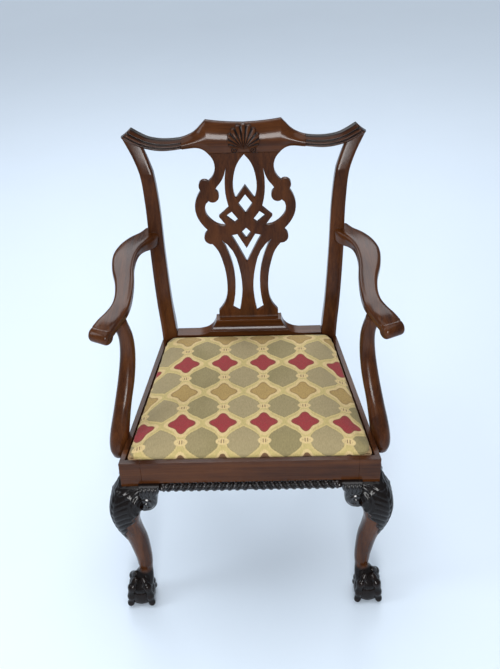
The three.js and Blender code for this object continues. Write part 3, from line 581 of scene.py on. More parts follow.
def finish(name):
    """The shared material of that name, made when it is first asked for."""
    if name in FINISHES:
        return FINISHES[name]
    wood = bpy.context.scene.armchair_wood
    pale, deep, carved, beech = (tuple(c) for c in (wood.pale, wood.deep, wood.carved, wood.beech))
    axes = {"across": 0, "back": 1, "upright": 2}
    kind, _, way = name.partition(" ")
    if kind == "mahogany":
        made = polished_wood(name, axes[way], pale, deep, carved, wood.polish)
    elif kind == "carving":
        # Painted shade: the knee blocks and gadroon under the seat rail get the mahogany a third as
        # bright, along with the dark polish of carved work.
        made = polished_wood(name, axes[way], pale, deep, carved, wood.polish, shade=0.34, coat=1.0)
    elif kind == "beech":
        made = planed_wood(name, axes[way], beech)
    elif kind == "jute":
        made = plain_weave(name, (0.42, 0.3, 0.15), (0.2, 0.13, 0.06), 0.0024)
    elif kind == "cambric":
        made = plain_weave(name, (0.025, 0.025, 0.027), (0.008, 0.008, 0.009), 0.0009)
    elif kind == "steel":
        made = dull_steel()
    else:
        made = lattice_weave(bpy.context.scene.armchair_fabric)
    FINISHES[name] = made
    return made


def dress(node_name, material, rounding=None):
    """Gives a frame piece its finish, and rounds its sharp edges: doubles are welded, edges are
    bevelled, and normals are weighted by face area."""
    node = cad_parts[node_name]
    mesh = node.data
    mesh.materials.clear()
    mesh.materials.append(material)
    mesh.polygons.foreach_set("use_smooth", np.full(len(mesh.polygons), True))
    if "custom_normal" in mesh.attributes:
        mesh.attributes.remove(mesh.attributes["custom_normal"])
    if rounding:
        weld = node.modifiers.new("weld", "WELD")
        weld.merge_threshold = 1e-5
        round_edges(node, rounding)
        weighted = node.modifiers.new("even shading", "WEIGHTED_NORMAL")
        weighted.weight = 90


# --- crest rail

CREST_TOP = [
    (0, 987.3), (30, 988.8), (60, 991.6), (86.5, 995.5), (97, 985), (108, 974), (121, 965.7),
    (141, 958.8), (166, 956.7), (191, 958), (216, 963.7), (236, 974), (255, 986.4),
]
CREST_LOW = [
    (0, 923), (28, 923), (56, 923), (83, 923), (90, 929.5), (100, 935), (113, 937.2),
    (137, 935.5), (163, 933), (188, 932.6), (213, 936.6), (243, 946.8), (278.5, 967.3),
]
# Places in both tables: beside the shell, the bow's corner, where an ear begins, and the end
SHELL_EDGE = 1.45
CREST_CORNER = 3
CREST_NECK = 6.6
CREST_END = 12
CREST_HALF = 280.0
CREST_THICK = 22.0
CREST_BOW = 15.0
CREST_SWELL = 4.5
CREST_ROLL = 8.0
CREST_ROUND = 2.2
REEDS_FROM = 142.0
SHELL_HUB = (0.0, 932.0)
SHELL_REACH = [(0, 55), (25, 53.5), (48, 48.5), (64, 41), (80, 32), (100, 24)]
SHELL_FAN = 84.0
SHELL_RIBS = 11
HUB_SCROLL_OUT = 21.0
HUB_SCROLL_PITCH = 4.4
REED_DEPTH = 4.0


def crest_edge(table, t):
    """Point on an edge of the crest rail's right half; t counts the table's points."""
    return curve(np.arange(len(table)), table, t, corners=(0, CREST_CORNER))


def shell_relief(x, z):
    """Height and painted shade of the scallop shell: ribs fan out from its hub, each a half round
    that grows with distance; beside the hub a small scroll winds on each side. The grooves, a ring
    just outside the rim and the scroll's turns are darkened as painted shade along with dark
    polish."""
    dx, dz = x - SHELL_HUB[0], z - SHELL_HUB[1]
    reach = np.hypot(dx, dz) + 1e-6
    fan = np.arctan2(dx, dz)
    bent = np.degrees(np.abs(fan)) * (1 + 0.16 * (1 - np.clip(reach / 45, 0, 1)))
    off = bent / (2 * SHELL_FAN / SHELL_RIBS)
    off = 2 * (off - np.round(off))
    ridge = np.clip(1 - np.abs(off) ** 1.6, 0, 1)
    places, values = zip(*SHELL_REACH)
    rim = np.interp(np.degrees(np.abs(fan)), places, values) * (0.93 + 0.07 * ridge)
    share = reach / rim
    inside = smoothstep(1.02, 0.98, share) * smoothstep(SHELL_FAN + 3, SHELL_FAN - 1, bent)
    height = inside * (0.8 + 1.2 * share**2 + 4.2 * ridge * share**0.5)
    # Painted shade, along with dark polish: darker in the grooves between the ribs, in a ring just
    # outside the rim and between the scroll's turns.
    shade_and_polish = inside * np.clip(1.3 - 1.5 * ridge, 0, 1)
    rim_shade_and_polish = smoothstep(1.1, 1.02, share) * (share > 1) * (bent < SHELL_FAN)
    shade_and_polish = np.maximum(shade_and_polish, rim_shade_and_polish * 0.5)
    cx, cz = np.abs(dx) - HUB_SCROLL_OUT, dz + 1
    curl = np.hypot(cx, cz)
    spiral = 0.5 + 0.5 * np.cos(2 * np.pi * curl / HUB_SCROLL_PITCH - np.arctan2(cz, cx))
    scroll = smoothstep(8.5, 7, curl)
    height = np.maximum(height, scroll * (1.4 + 2.0 * spiral))
    shade_and_polish = np.where(scroll > 0.3, scroll * (1 - spiral), shade_and_polish)
    return height, shade_and_polish


def reed_relief(x, v):
    """Depth and painted shade of the three reeds on each ear: three half rounds across its height,
    with a square end towards the middle of the chair. The grooves between them are darkened as
    painted shade along with dark polish."""
    share = np.clip((v - 0.03) / 0.94, 0, 1)
    ridge = np.abs(np.sin(3 * np.pi * share)) ** 0.55
    mask = smoothstep(REEDS_FROM - 1.2, REEDS_FROM + 1.0, np.abs(x))
    # Painted shade, along with dark polish: darkest in the grooves between the reeds.
    return mask * REED_DEPTH * (ridge - 1), mask * (0.12 + 0.88 * (1 - ridge) ** 0.6)


def crest_rail():
    """Sections between a low and a high edge: the face swells between them, rolls back near the
    top and bows back across the chair, and shell and reeds are carved in it."""
    shell = np.linspace(0, SHELL_EDGE, 76)
    plain = np.linspace(SHELL_EDGE, CREST_NECK, 62)[1:]
    ear = np.linspace(CREST_NECK, CREST_END, 90)[1:]
    half = np.concatenate([shell, plain, ear])
    t = np.concatenate([-half[::-1], half[1:]])
    sign = np.where(t < 0, -1.0, 1.0)
    low, high = crest_edge(CREST_LOW, np.abs(t)), crest_edge(CREST_TOP, np.abs(t))
    s = np.linspace(0, 1, 92)
    v = s - np.sin(2 * np.pi * s) * 0.6 / (2 * np.pi)
    point = low[:, None] + (high - low)[:, None] * v[None, :, None]
    x, z = point[..., 0] * sign[:, None], point[..., 1]
    tall = np.linalg.norm(high - low, axis=1)[:, None]
    end = (CREST_END - np.abs(t))[:, None] * 24
    edge = sum(fillet(distance, CREST_ROUND) for distance in (v * tall, (1 - v) * tall, end))
    roll = CREST_ROLL * np.clip((v - 0.4) / 0.6, 0, None) ** 2
    bow = 5 - CREST_BOW * (x / CREST_HALF) ** 2
    face = post_face(z) + bow - CREST_SWELL * np.sin(np.pi * v) + roll
    thick = CREST_THICK - 3 * v - roll
    shell_up, shell_shade_and_polish = shell_relief(x, z)
    reed_down, reed_shade_and_polish = reed_relief(x, v)
    front = face + edge - shell_up - reed_down
    back = face + thick - edge
    behind = np.stack([x, back, z], -1)[:, ::-6]
    points = np.concatenate([np.stack([x, front, z], -1), behind], axis=1)
    # Painted shade, along with dark polish, in the grooves of the shell and the reeds.
    shade_and_polish = np.clip(shell_shade_and_polish + reed_shade_and_polish, 0, 1)
    carved = np.concatenate([shade_and_polish, np.zeros(behind.shape[:2])], axis=1)
    wood = finish("mahogany across")
    make_piece("crest_rail_carved", [skin(points, carved)], wood, stands_for=["crest_rail"])


# --- rear posts

POST_OUTER = [
    (0, 214), (220, 216), (397, 219), (457, 219), (554, 226.5), (679, 233), (814, 237),
    (869, 242), (914, 252), (934, 258.5), (955, 268), (975, 279),
]
POST_INNER = [
    (0, 186), (220, 184), (397, 182), (457, 182), (554, 190), (679, 197.6), (814, 204),
    (869, 210), (914, 218), (934, 222), (955, 227), (975, 232),
]
POST_DEPTH = [
    (0, 30), (220, 33), (397, 40), (470, 40), (570, 31), (730, 28), (880, 24), (930, 17), (975, 11),
]
# The stretch of a post that is brought down to the crest rail's lower edge
POST_SHOULDER = 880
POST_TOP = 975


def read(table, at):
    """A table of (place, value) read along a smooth curve."""
    places, values = zip(*table)
    return curve(places, values, at)


def rear_posts():
    """Rounded rectangles carried up the post's line; above the arm the top is brought down to the
    crest rail's lower edge, so that each point stops under it."""
    low, high = np.linspace(0, POST_SHOULDER, 130), np.linspace(POST_SHOULDER, POST_TOP, 40)
    z = np.concatenate([low, high[1:]])
    inner, outer, deep = read(POST_INNER, z), read(POST_OUTER, z), read(POST_DEPTH, z)
    power = 9 - 1.8 * smoothstep(470, 540, z)
    across, back = oval((outer - inner) / 2, deep / 2, power, 56)
    x = (inner + outer)[:, None] / 2 + across
    y = (post_face(z) + deep / 2)[:, None] + back
    under = crest_edge(CREST_LOW, np.linspace(CREST_END / 2, CREST_END, 200))
    top = np.interp(x, under[:, 0], under[:, 1]) - 0.3
    level = z[:, None] + np.zeros_like(x)
    share = (top - POST_SHOULDER) / (POST_TOP - POST_SHOULDER)
    brought = POST_SHOULDER + (level - POST_SHOULDER) * share
    level = np.where(level > POST_SHOULDER, brought, level)
    grids = [(np.stack([x, y, level], -1), None)]
    make_pair("rear_post_{}_shaped", grids, finish("mahogany upright"), "rear_post_{}")


# --- arms and their supports

ARM_LINE = [
    (224.7, 509, 739), (237.6, 483.5, 740), (257.3, 457.2, 742), (272, 428, 743), (280, 392, 743),
    (279, 345, 741), (271, 295, 738), (267.5, 245, 736), (270, 205, 735), (279, 176, 733),
    (292, 149, 731), (304, 124, 727),
]
ARM_WIDTHS = [45, 49, 52, 54, 55, 50, 43, 39, 40, 44, 48, 49]
ARM_HEIGHTS = [38, 35, 29, 25, 24, 24, 24, 24, 24, 24, 24, 24]
ARM_POWER = 4.6
SCROLL_RADIUS = 16.5
SCROLL_ROUND = 9.0
ARM_SPIRAL_PITCH = 5.5
ARM_SPIRAL_DEPTH = 0.9
SUPPORT_LINE = [
    (293, 84, 405), (292, 86, 432), (288, 94, 467), (278, 117, 522), (267, 145, 577),
    (261, 165, 627), (261, 171, 672), (270, 170, 712),
]
SUPPORT_WIDTHS = [28, 42, 43, 38, 37, 34, 31, 31]
SUPPORT_DEPTHS = [32, 50, 47, 42, 38, 34, 32, 34]
SUPPORT_POWER = 2.3
SUPPORT_FOOT = 7.0
HOUSING_GAP = 0.3


def arm_grid():
    """Soft-cornered flat ovals carried along the arm's line, upright and square to it in plan. The
    end is drawn in over the scroll."""
    knots = np.arange(len(ARM_LINE))
    t = np.linspace(0, knots[-1], 150)
    line = curve(knots, ARM_LINE, t)
    ahead = np.gradient(line, axis=0)
    ahead[:, 2] = 0
    ahead /= np.linalg.norm(ahead, axis=1, keepdims=True)
    across = np.stack([ahead[:, 1], -ahead[:, 0], np.zeros(len(t))], -1)
    wide, high = curve(knots, ARM_WIDTHS, t), curve(knots, ARM_HEIGHTS, t)
    nose = fillet((knots[-1] - t) * 28, SCROLL_ROUND)
    u, w = oval(wide / 2 - nose, high / 2, np.full(len(t), ARM_POWER), 72)
    centre = line.copy()
    centre[:, 2] -= high / 2
    points = centre[:, None] + u[..., None] * across[:, None]
    points[..., 2] += w
    return points, line[-1], ahead[-1], across[-1]


def arm_scroll(end, ahead, across):
    """The down-turned end: a roll that lies across the arm, its edges rounded, with a shallow
    spiral sunk in each end face."""
    half = ARM_WIDTHS[-1] / 2 - 0.3
    ring = np.arange(72) / 72 * 2 * np.pi
    reach = np.concatenate([np.linspace(0.04, 0.5, 14), np.linspace(0.53, 1, 20)])
    edge = half - fillet((1 - reach) * SCROLL_RADIUS, SCROLL_ROUND)
    spin = reach[:, None] * SCROLL_RADIUS
    spiral = 0.5 + 0.5 * np.cos(2 * np.pi * spin / ARM_SPIRAL_PITCH - ring[None])
    sunk = smoothstep(0.62, 0.45, reach)[:, None] * spiral * ARM_SPIRAL_DEPTH
    face = edge[:, None] - sunk
    place = np.concatenate([face, -face[::-1]])
    radius = np.concatenate([spin, spin[::-1]]) * np.ones_like(place)
    # Painted shade, along with dark polish: the sunk spiral is darkened by half its depth.
    shade_and_polish = np.concatenate([sunk, sunk[::-1]]) * 0.5
    centre = end - np.array([0, 0, SCROLL_RADIUS - 0.1])
    up = np.array([0.0, 0.0, 1.0])
    spokes = np.cos(ring)[None, :, None] * ahead + np.sin(ring)[None, :, None] * up
    return centre + place[..., None] * across + radius[..., None] * spokes, shade_and_polish


def arms():
    """Both arms, each with its scroll."""
    body, end, ahead, across = arm_grid()
    grids = [(body, None), arm_scroll(end, ahead, across)]
    make_pair("arm_{}_shaped", grids, finish("mahogany back"), "arm_{}")


def arm_supports():
    """Soft-cornered ovals carried up an S-curve. Below the seat's top they stop at the outer face
    of the side rail, which is housed in them."""
    knots = np.arange(len(SUPPORT_LINE))
    t = np.linspace(0, knots[-1], 150)
    line = curve(knots, SUPPORT_LINE, t)
    wide, deep = curve(knots, SUPPORT_WIDTHS, t), curve(knots, SUPPORT_DEPTHS, t)
    foot = fillet(t * 27, SUPPORT_FOOT)
    u, w = oval(wide / 2 - foot, deep / 2 - foot, np.full(len(t), SUPPORT_POWER), 56)
    points = line[:, None] + np.stack([u, w, np.zeros_like(u)], -1)
    housed = points[..., 2] < RAIL_TOP + HOUSING_GAP
    beside = side_x(points[..., 1]) + HOUSING_GAP
    points[..., 0] = np.where(housed, np.maximum(points[..., 0], beside), points[..., 0])
    wood = finish("mahogany upright")
    make_pair("arm_support_{}_shaped", [(points, None)], wood, "arm_support_{}")


# --- front legs

# Height, how far the centre stands out from the square top's, half width, and squareness.
LEG_ROWS = [
    (389, 3, 3, 25.5, 5), (377, 8, 8, 29, 4), (362, 13, 13, 33, 3.4), (345, 16.5, 16.5, 35.5, 3),
    (328, 19, 19, 35.5, 2.9), (305, 21.5, 21.5, 32, 2.7), (281, 21, 22, 28, 2.6),
    (258, 17.5, 19, 26, 2.5), (237, 12.8, 15.5, 24.3, 2.4), (210, 7, 11.3, 23, 2.3),
    (164, 1, 8, 20.5, 2.2), (119, -2, 6.8, 17.9, 2.1), (92, -1, 8, 17, 2),
    (80, 3, 12, 21.5, 2), (69, 8, 17.5, 26.5, 2), (57, 12, 22, 29.5, 2), (46, 13.5, 23.5, 28, 2),
]
LEG_SQUARE_LOW = 375.0
SCROLL_EYE = (7.0, 345.0)
SCROLL_PITCH = 12.5
SWIRL_RADIUS = 38.0
VEIN_PITCH = 16.5
FOOT_OUT = 13.5
FOOT_FORWARD = 23.5
BALL_RADIUS = 33.0
BALL_POWER = 2.7
BALL_MIDDLE = 29.5
BALL_HALF_HEIGHT = 29.3
# Talon seen in its own upright plane: distance from the foot's centre, height, thickness.
TALON = [
    (10, 84, 6), (15, 77, 8), (20, 69.5, 9.5), (25, 61.5, 10.5), (28.5, 52, 9.8), (30, 41.5, 9.4),
    (31, 31, 9.8), (33, 20.5, 9), (36.5, 11, 7.8), (39, 5, 5.6),
]


def scroll_ridges(d, z):
    """Ridges that wind round a scroll's eye: d is the distance beside the leg's square, negative on
    the leg itself, so that one scroll runs across the knee and its block."""
    eye_d, eye_z = d - SCROLL_EYE[0], z - SCROLL_EYE[1]
    curl = np.hypot(eye_d, eye_z)
    turn = 2 * np.pi * curl / SCROLL_PITCH - np.arctan2(eye_z, eye_d)
    return 0.5 + 0.5 * np.cos(turn), curl


def leaf_relief(turn, z, radius, d):
    """Acanthus leaf on the knee. `turn` is the angle from the knee's outer corner and `z` the
    height: the leaf narrows downwards with a lobed edge, a sunk middle vein and side veins that
    slope up and out, below an arched ridge under the rail; near the blocks it turns into the
    ridges of their scrolls."""
    s = turn * radius
    spread = np.radians(np.interp(z, [221, 244, 270, 302, 330, 389], [0, 20, 38, 70, 106, 120]))
    lobes = 1 + 0.13 * np.cos(2 * np.pi * (z - 210) / 30)
    share = np.abs(turn) / (spread * lobes + 1e-6)
    inside = smoothstep(1.04, 0.9, share) * smoothstep(220, 230, z)
    slant = (z - 1.1 * np.abs(s) + 0.012 * s**2) / VEIN_PITCH
    vein = np.abs(np.sin(np.pi * slant)) ** 0.6
    middle = np.exp(-((s / 2.4) ** 2))
    arch = np.exp(-(((z - 379 + 0.011 * s**2) / 3.2) ** 2))
    spiral, curl = scroll_ridges(d, z)
    swirl = smoothstep(SWIRL_RADIUS + 9, SWIRL_RADIUS, curl)
    pattern = vein * (1 - swirl) + spiral * swirl
    height = inside * (0.6 + (1.6 + swirl) * pattern - 1.4 * middle * (1 - swirl)) + 1.8 * arch
    # Painted shade, along with dark polish: the whole leaf is darkened, most in its middle vein.
    shade_and_polish = inside * np.clip(1.2 - 0.35 * pattern + middle * 0.6, 0.8, 1)
    # Painted shade: a dark line along the leaf's lobed outline, and a dark band under the rail at
    # the top of the knee.
    edge = np.exp(-(((share - 1.05) / 0.07) ** 2)) * smoothstep(222, 244, z) * 0.8
    top = smoothstep(372, 382, z) * 0.7
    return height, np.clip(np.maximum(np.maximum(shade_and_polish, edge), top), 0, 1)


def leg_grid():
    """Soft-cornered squares carried down the cabriole's line; the knee's leaf stands out along
    each point's own direction from the middle of its ring."""
    rows = np.array(LEG_ROWS, float)
    z = np.concatenate([np.linspace(389, 200, 230), np.linspace(200, 46, 90)[1:]])
    out, forward, half, power = curve(-rows[:, 0], rows[:, 1:], -z).T
    u, w = oval(half, half, power, 132)
    turn = np.arctan2(w, u) + math.pi / 4
    turn = (turn + math.pi) % (2 * math.pi) - math.pi
    across = FRONT_HALF - LEG_BLOCK / 2 + out[:, None] + u
    ahead = LEG_BLOCK / 2 - forward[:, None] + w
    beside = np.where(turn < 0, FRONT_HALF - LEG_BLOCK - across, ahead - LEG_BLOCK)
    height, shade_and_polish = leaf_relief(turn, z[:, None], half[:, None], beside)
    reach = np.hypot(u, w)
    grow = 1 + height / reach
    x = FRONT_HALF - LEG_BLOCK / 2 + out[:, None] + u * grow
    y = LEG_BLOCK / 2 - forward[:, None] + w * grow
    # The leg is darkened towards the carving's near-black from 102 mm down to the foot.
    paw = smoothstep(102, 87, z)[:, None] * 0.9
    return np.stack([x, y, z[:, None] + np.zeros_like(x)], -1), np.maximum(shade_and_polish, paw)


def foot_grids():
    """A ball, a little wider than it is tall, whose profile is x^p + y^p = 1. Four talons grip it,
    their thickness a cosine along them for the knuckles, down to claws on the floor."""
    centre = np.array([FRONT_HALF - LEG_BLOCK / 2 + FOOT_OUT, LEG_BLOCK / 2 - FOOT_FORWARD, 0])
    polar = np.linspace(0.05, math.pi - 0.05, 36)
    low = np.abs(np.cos(polar)) ** BALL_POWER
    width = BALL_RADIUS * (1 - low) ** (1 / BALL_POWER)
    ball = turned_profile(width, BALL_MIDDLE + BALL_HALF_HEIGHT * np.cos(polar), 56)
    # The ball is darkened towards the carving's near-black all over.
    made = [(ball + centre, np.full(ball.shape[:2], 0.8))]
    rows = np.array(TALON, float)
    knots = np.arange(len(rows))
    t = np.linspace(0, knots[-1], 56)
    reach, high, thick = curve(knots, rows, t).T
    knuckle = np.cos(2 * np.pi * (t - 3) / 2.6) * smoothstep(1, 2.5, t) * smoothstep(9, 7, t)
    knuckle = 1 + 0.11 * knuckle
    tip = np.sqrt(np.clip(1 - ((t - knots[-1] + 0.6) / 0.62).clip(0, 1) ** 2, 0.02, 1))
    for quarter in range(4):
        way = math.radians(45 + 90 * quarter)
        path = centre + np.stack([reach * math.cos(way), reach * math.sin(way), high], -1)
        bar = tube(path, thick * knuckle * tip)
        bar[..., 2] = np.maximum(bar[..., 2], 0.15)
        # The talons are darkened all over, and more in the creases between the knuckles as painted
        # shade along with dark polish.
        crease = np.clip(1.0 - knuckle, 0, 0.2) * 2 + 0.78
        made.append((bar, np.repeat(crease[:, None], bar.shape[1], axis=1)))
    return made


def prism(outline, low, high):
    """An upright bar on a plan outline: its walls are two rows of the outline's points."""
    outline = np.asarray(outline, float)
    levels = [np.column_stack([outline, np.full(len(outline), z)]) for z in (low, high)]
    return np.stack(levels)


def front_legs():
    """Both front legs: the square top that the rails join, the carved cabriole and its foot."""
    inner = FRONT_HALF - LEG_BLOCK - 0.3
    square = [(inner, 0), (side_x(0), 0), (side_x(LEG_BLOCK), LEG_BLOCK), (inner, LEG_BLOCK)]
    edge = LIP + 2
    arms_of_lip = (
        [(inner, 0), (side_x(0), 0), (side_x(edge), edge), (inner, edge)],
        [(side_x(edge, LIP), edge), (side_x(edge), edge), (side_x(LEG_BLOCK), LEG_BLOCK),
         (side_x(LEG_BLOCK, LIP), LEG_BLOCK)],
    )
    top = [(prism(square, LEG_SQUARE_LOW, LEDGE), None)]
    top += [(prism(plan, LEDGE - 1, RAIL_TOP), None) for plan in arms_of_lip]
    carved = [leg_grid(), *foot_grids()]
    make_pair("front_leg_{}_carved", carved, finish("mahogany upright"), "front_leg_{}")
    for block in make_pair("front_leg_{}_square", top, finish("mahogany across"), smooth=False):
        round_edges(block, bpy.context.scene.armchair_wood.rounding)


# --- knee blocks and gadroon

KNEE_EDGE = [
    (-8, 396.7), (14, 396.7), (38, 396.7), (38, 381), (33, 377), (30, 368), (31, 353),
    (28, 337), (19, 325), (7, 320), (-8, 323), (-10, 362),
]
KNEE_MIDDLE = np.array([10.0, 362.0])
KNEE_PROUD = 17.0
KNEE_BEHIND = 26.0
KNEE_RELIEF = 3.2


def knee_relief(d, z):
    """Scroll on a knee block: a ridge that winds in towards its eye, under slanting ridges."""
    spiral, _ = scroll_ridges(d, z)
    ridges = 0.5 + 0.5 * np.cos(2 * np.pi * (d + 0.35 * (z - 380)) / 8.5)
    share = smoothstep(366, 376, z)
    pattern = spiral * (1 - share) + ridges * share
    # Painted shade, along with dark polish: darker in the grooves of the scroll and the ridges.
    return KNEE_RELIEF * pattern, np.clip(1.2 - 0.45 * pattern, 0, 1)


def knee_grid():
    """Rings drawn in from the block's outline to its middle: the front is domed, the carving
    stands out of it, and the back is flat."""
    edge = np.array(KNEE_EDGE, float)
    loop = np.vstack([edge, edge[:1]])
    t = np.linspace(0, len(edge), 180, endpoint=False)
    ring = curve(np.arange(len(loop)), loop, t, corners=(0, 2, 3))
    share = np.linspace(0.03, 1, 54)
    place = KNEE_MIDDLE + (ring - KNEE_MIDDLE)[None] * share[:, None, None]
    d, z = place[..., 0], place[..., 1]
    dome = np.sqrt(np.clip(1 - share**4, 0, 1))[:, None]
    height, shade_and_polish = knee_relief(d, z)
    y = 4 - (KNEE_PROUD + 4) * (0.35 + 0.65 * dome) - height * dome
    front = np.stack([d, y, z], -1)
    back = np.stack([d, np.full_like(d, KNEE_BEHIND), z], -1)[::-1][::9]
    # Painted shade under the rail, along with dark polish: the whole block is darkened at least 0.8
    # of the way to the near-black.
    shade = np.concatenate([np.maximum(shade_and_polish, 0.8), np.full(back.shape[:2], 0.8)])
    return np.concatenate([front, back]), shade


def knee_blocks():
    """The front and side brackets beside each front leg."""
    grid, shade = knee_grid()
    lean = math.atan2(FRONT_HALF - REAR_HALF, POST_FRONT)
    front = grid * MIRROR + np.array([FRONT_HALF - LEG_BLOCK, 0, 0])
    turn = np.array(Matrix.Rotation(math.pi / 2 + lean, 3, "Z"))
    beside = grid @ turn.T + np.array([side_x(LEG_BLOCK), LEG_BLOCK, 0])
    for end, points in (("front", front), ("side", beside)):
        name = f"knee_block_{end}_{{}}"
        wood = finish("carving upright")
        make_pair(name + "_carved", [(points, shade)], wood, name, slot="carved_mahogany")


GADROON_END = 190.5
GADROON_REPEAT = 16.8
GADROON_SLANT = 9.0
GADROON_CORE = 6.2
GADROON_LOBE = 6.0
GADROON_BROAD = 0.7
GADROON_MIDDLE = RAIL_BOTTOM - 12.2
BEAD_RADIUS = 11.5
BEAD_HALF_LENGTH = 10.5


def gadroon():
    """Half-round moulding under the front rail. Its lobes slant like a rope's strands, towards the
    middle: in each repeat one broad lobe and one narrow one, each a half sine across its width. A
    petalled bead closes each end."""
    x = np.linspace(-GADROON_END, GADROON_END, 1100)[:, None]
    ring = (np.arange(44) + 0.5) / 44 * 2 * np.pi
    tilt = np.sin(ring)[None] * GADROON_SLANT
    phase = ((np.abs(x) + tilt) / GADROON_REPEAT) % 1.0
    broad = np.sin(np.pi * np.clip(phase / GADROON_BROAD, 0, 1))
    narrow = np.sin(np.pi * np.clip((phase - GADROON_BROAD) / (1 - GADROON_BROAD), 0, 1)) * 0.55
    lobe = np.where(phase < GADROON_BROAD, broad, narrow) ** 0.75
    reach = GADROON_CORE + GADROON_LOBE * lobe
    y = 1 + reach * np.cos(ring) * 0.95
    z = np.minimum(GADROON_MIDDLE + reach * np.sin(ring), RAIL_BOTTOM - 0.4)
    points = np.stack([x + np.zeros_like(y), y, z], -1)
    # Painted shade, along with dark polish: darker between the lobes, and the end beads darkened
    # all over.
    skins = [skin(points, np.clip(1.25 - 0.6 * lobe, 0, 1))]
    polar = np.linspace(0.06, math.pi - 0.06, 28)
    bead = turned_profile(BEAD_RADIUS * np.sin(polar), BEAD_HALF_LENGTH * np.cos(polar), 40)
    petals = 1 + 0.07 * np.cos(6 * np.arctan2(bead[..., 1], bead[..., 0]))[..., None]
    bead = (bead * petals)[..., [1, 2, 0]]
    for _, sign in SIDES:
        end = bead + np.array([sign * GADROON_END, 1.0, GADROON_MIDDLE])
        skins.append(skin(end, np.full(bead.shape[:2], 0.7)))
    make_piece(
        "gadroon_moulding_carved", skins, finish("carving across"), slot="carved_mahogany",
        stands_for=["gadroon_moulding"],
    )


# --- drop-in seat

SEAT_FRONT = 14.0
SEAT_BACK = 437.0
CROWN = 477.0
EDGE_DROP = 14.0
BACK_FULLNESS = 0.5
SEAT_SIDE = LIP + 1.2
PAD_SHRINK = 0.992
PAD_GAP = 0.7
PAD_OVERHANG = 1.5
PAD_LIFT = 3.0


def seat_pad_grid():
    """The seat's pad: rings of its plan, a rounded trapezium, from the middle of the underside out
    to the edge, up the side and in over the top. With the distance d from the edge the top rises
    as 1 - (1 - d/100)^2.2, and its fall is less towards the back."""
    angle = (np.arange(176) + 0.5) / 176 * 2 * np.pi
    c, s = np.cos(angle), np.sin(angle)
    reach = (np.abs(c) ** 20 + np.abs(s) ** 20) ** (-1 / 20)
    u, w = c * reach, s * reach
    half_depth, middle = (SEAT_BACK - SEAT_FRONT) / 2, (SEAT_BACK + SEAT_FRONT) / 2
    under, side, edge = np.linspace(0.1, 0.985, 9), [0.99, 0.99, 0.988], [PAD_SHRINK, 1.0, 0.998]
    scale = np.concatenate([under, side, edge, np.linspace(PAD_SHRINK, 0.03, 60)])[:, None]
    y = middle + half_depth * w[None] * scale
    x = side_x(middle + half_depth * w, SEAT_SIDE)[None] * u[None] * scale
    fall = EDGE_DROP * (1 - BACK_FULLNESS * np.clip(y / SEAT_BACK, 0, 1) ** 4)
    z = CROWN - 0.5 - fall * np.clip(1 - (PAD_SHRINK - scale) * 2.05, 0, 1) ** 2.2
    first, last = len(under), len(under) + len(side)
    z[:first] = LEDGE + 2
    z[first:last] = np.array([[5], [10], [14]]) + LEDGE
    z[last : last + len(edge)] -= np.array([[5.5], [2.6], [0.7]])
    return np.stack([x, y, z], -1)


def read_places(mesh):
    """The places of a mesh's points, one row each."""
    flat = np.empty(len(mesh.vertices) * 3, np.float32)
    mesh.vertices.foreach_get("co", flat)
    return flat.reshape(-1, 3)


def puff(piece, lift):
    """Cloth simulation of a stuffed pad: voxel remesh, pressure from inside, the lower edge
    pinned; then no point lies further than `lift` (mm) from where it began."""
    bpy.context.view_layer.objects.active = piece
    remesh = piece.modifiers.new("even mesh", "REMESH")
    remesh.mode = "VOXEL"
    remesh.voxel_size = PAD_VOXEL
    bpy.ops.object.modifier_apply(modifier=remesh.name)
    start = read_places(piece.data)
    held = piece.vertex_groups.new(name="tacked edge")
    held.add(np.flatnonzero(start[:, 2] < (RAIL_TOP - 2) * MM).tolist(), 1.0, "REPLACE")
    cloth = piece.modifiers.new("stuffing", "CLOTH")
    cloth.settings.vertex_group_mass = held.name
    cloth.settings.use_pressure = True
    cloth.settings.uniform_pressure_force = 4.0
    cloth.settings.effector_weights.gravity = 0.0
    cloth.settings.quality = 4
    cloth.settings.tension_stiffness = 12
    cloth.settings.bending_stiffness = 0.6
    for step in range(1, CLOTH_FRAMES + 1):
        bpy.context.scene.frame_set(step)
    bpy.ops.object.modifier_apply(modifier=cloth.name)
    bpy.context.scene.frame_set(1)
    move = read_places(piece.data) - start
    far = np.linalg.norm(move, axis=1, keepdims=True) + 1e-9
    return start + move * np.minimum(1, lift * MM / far)


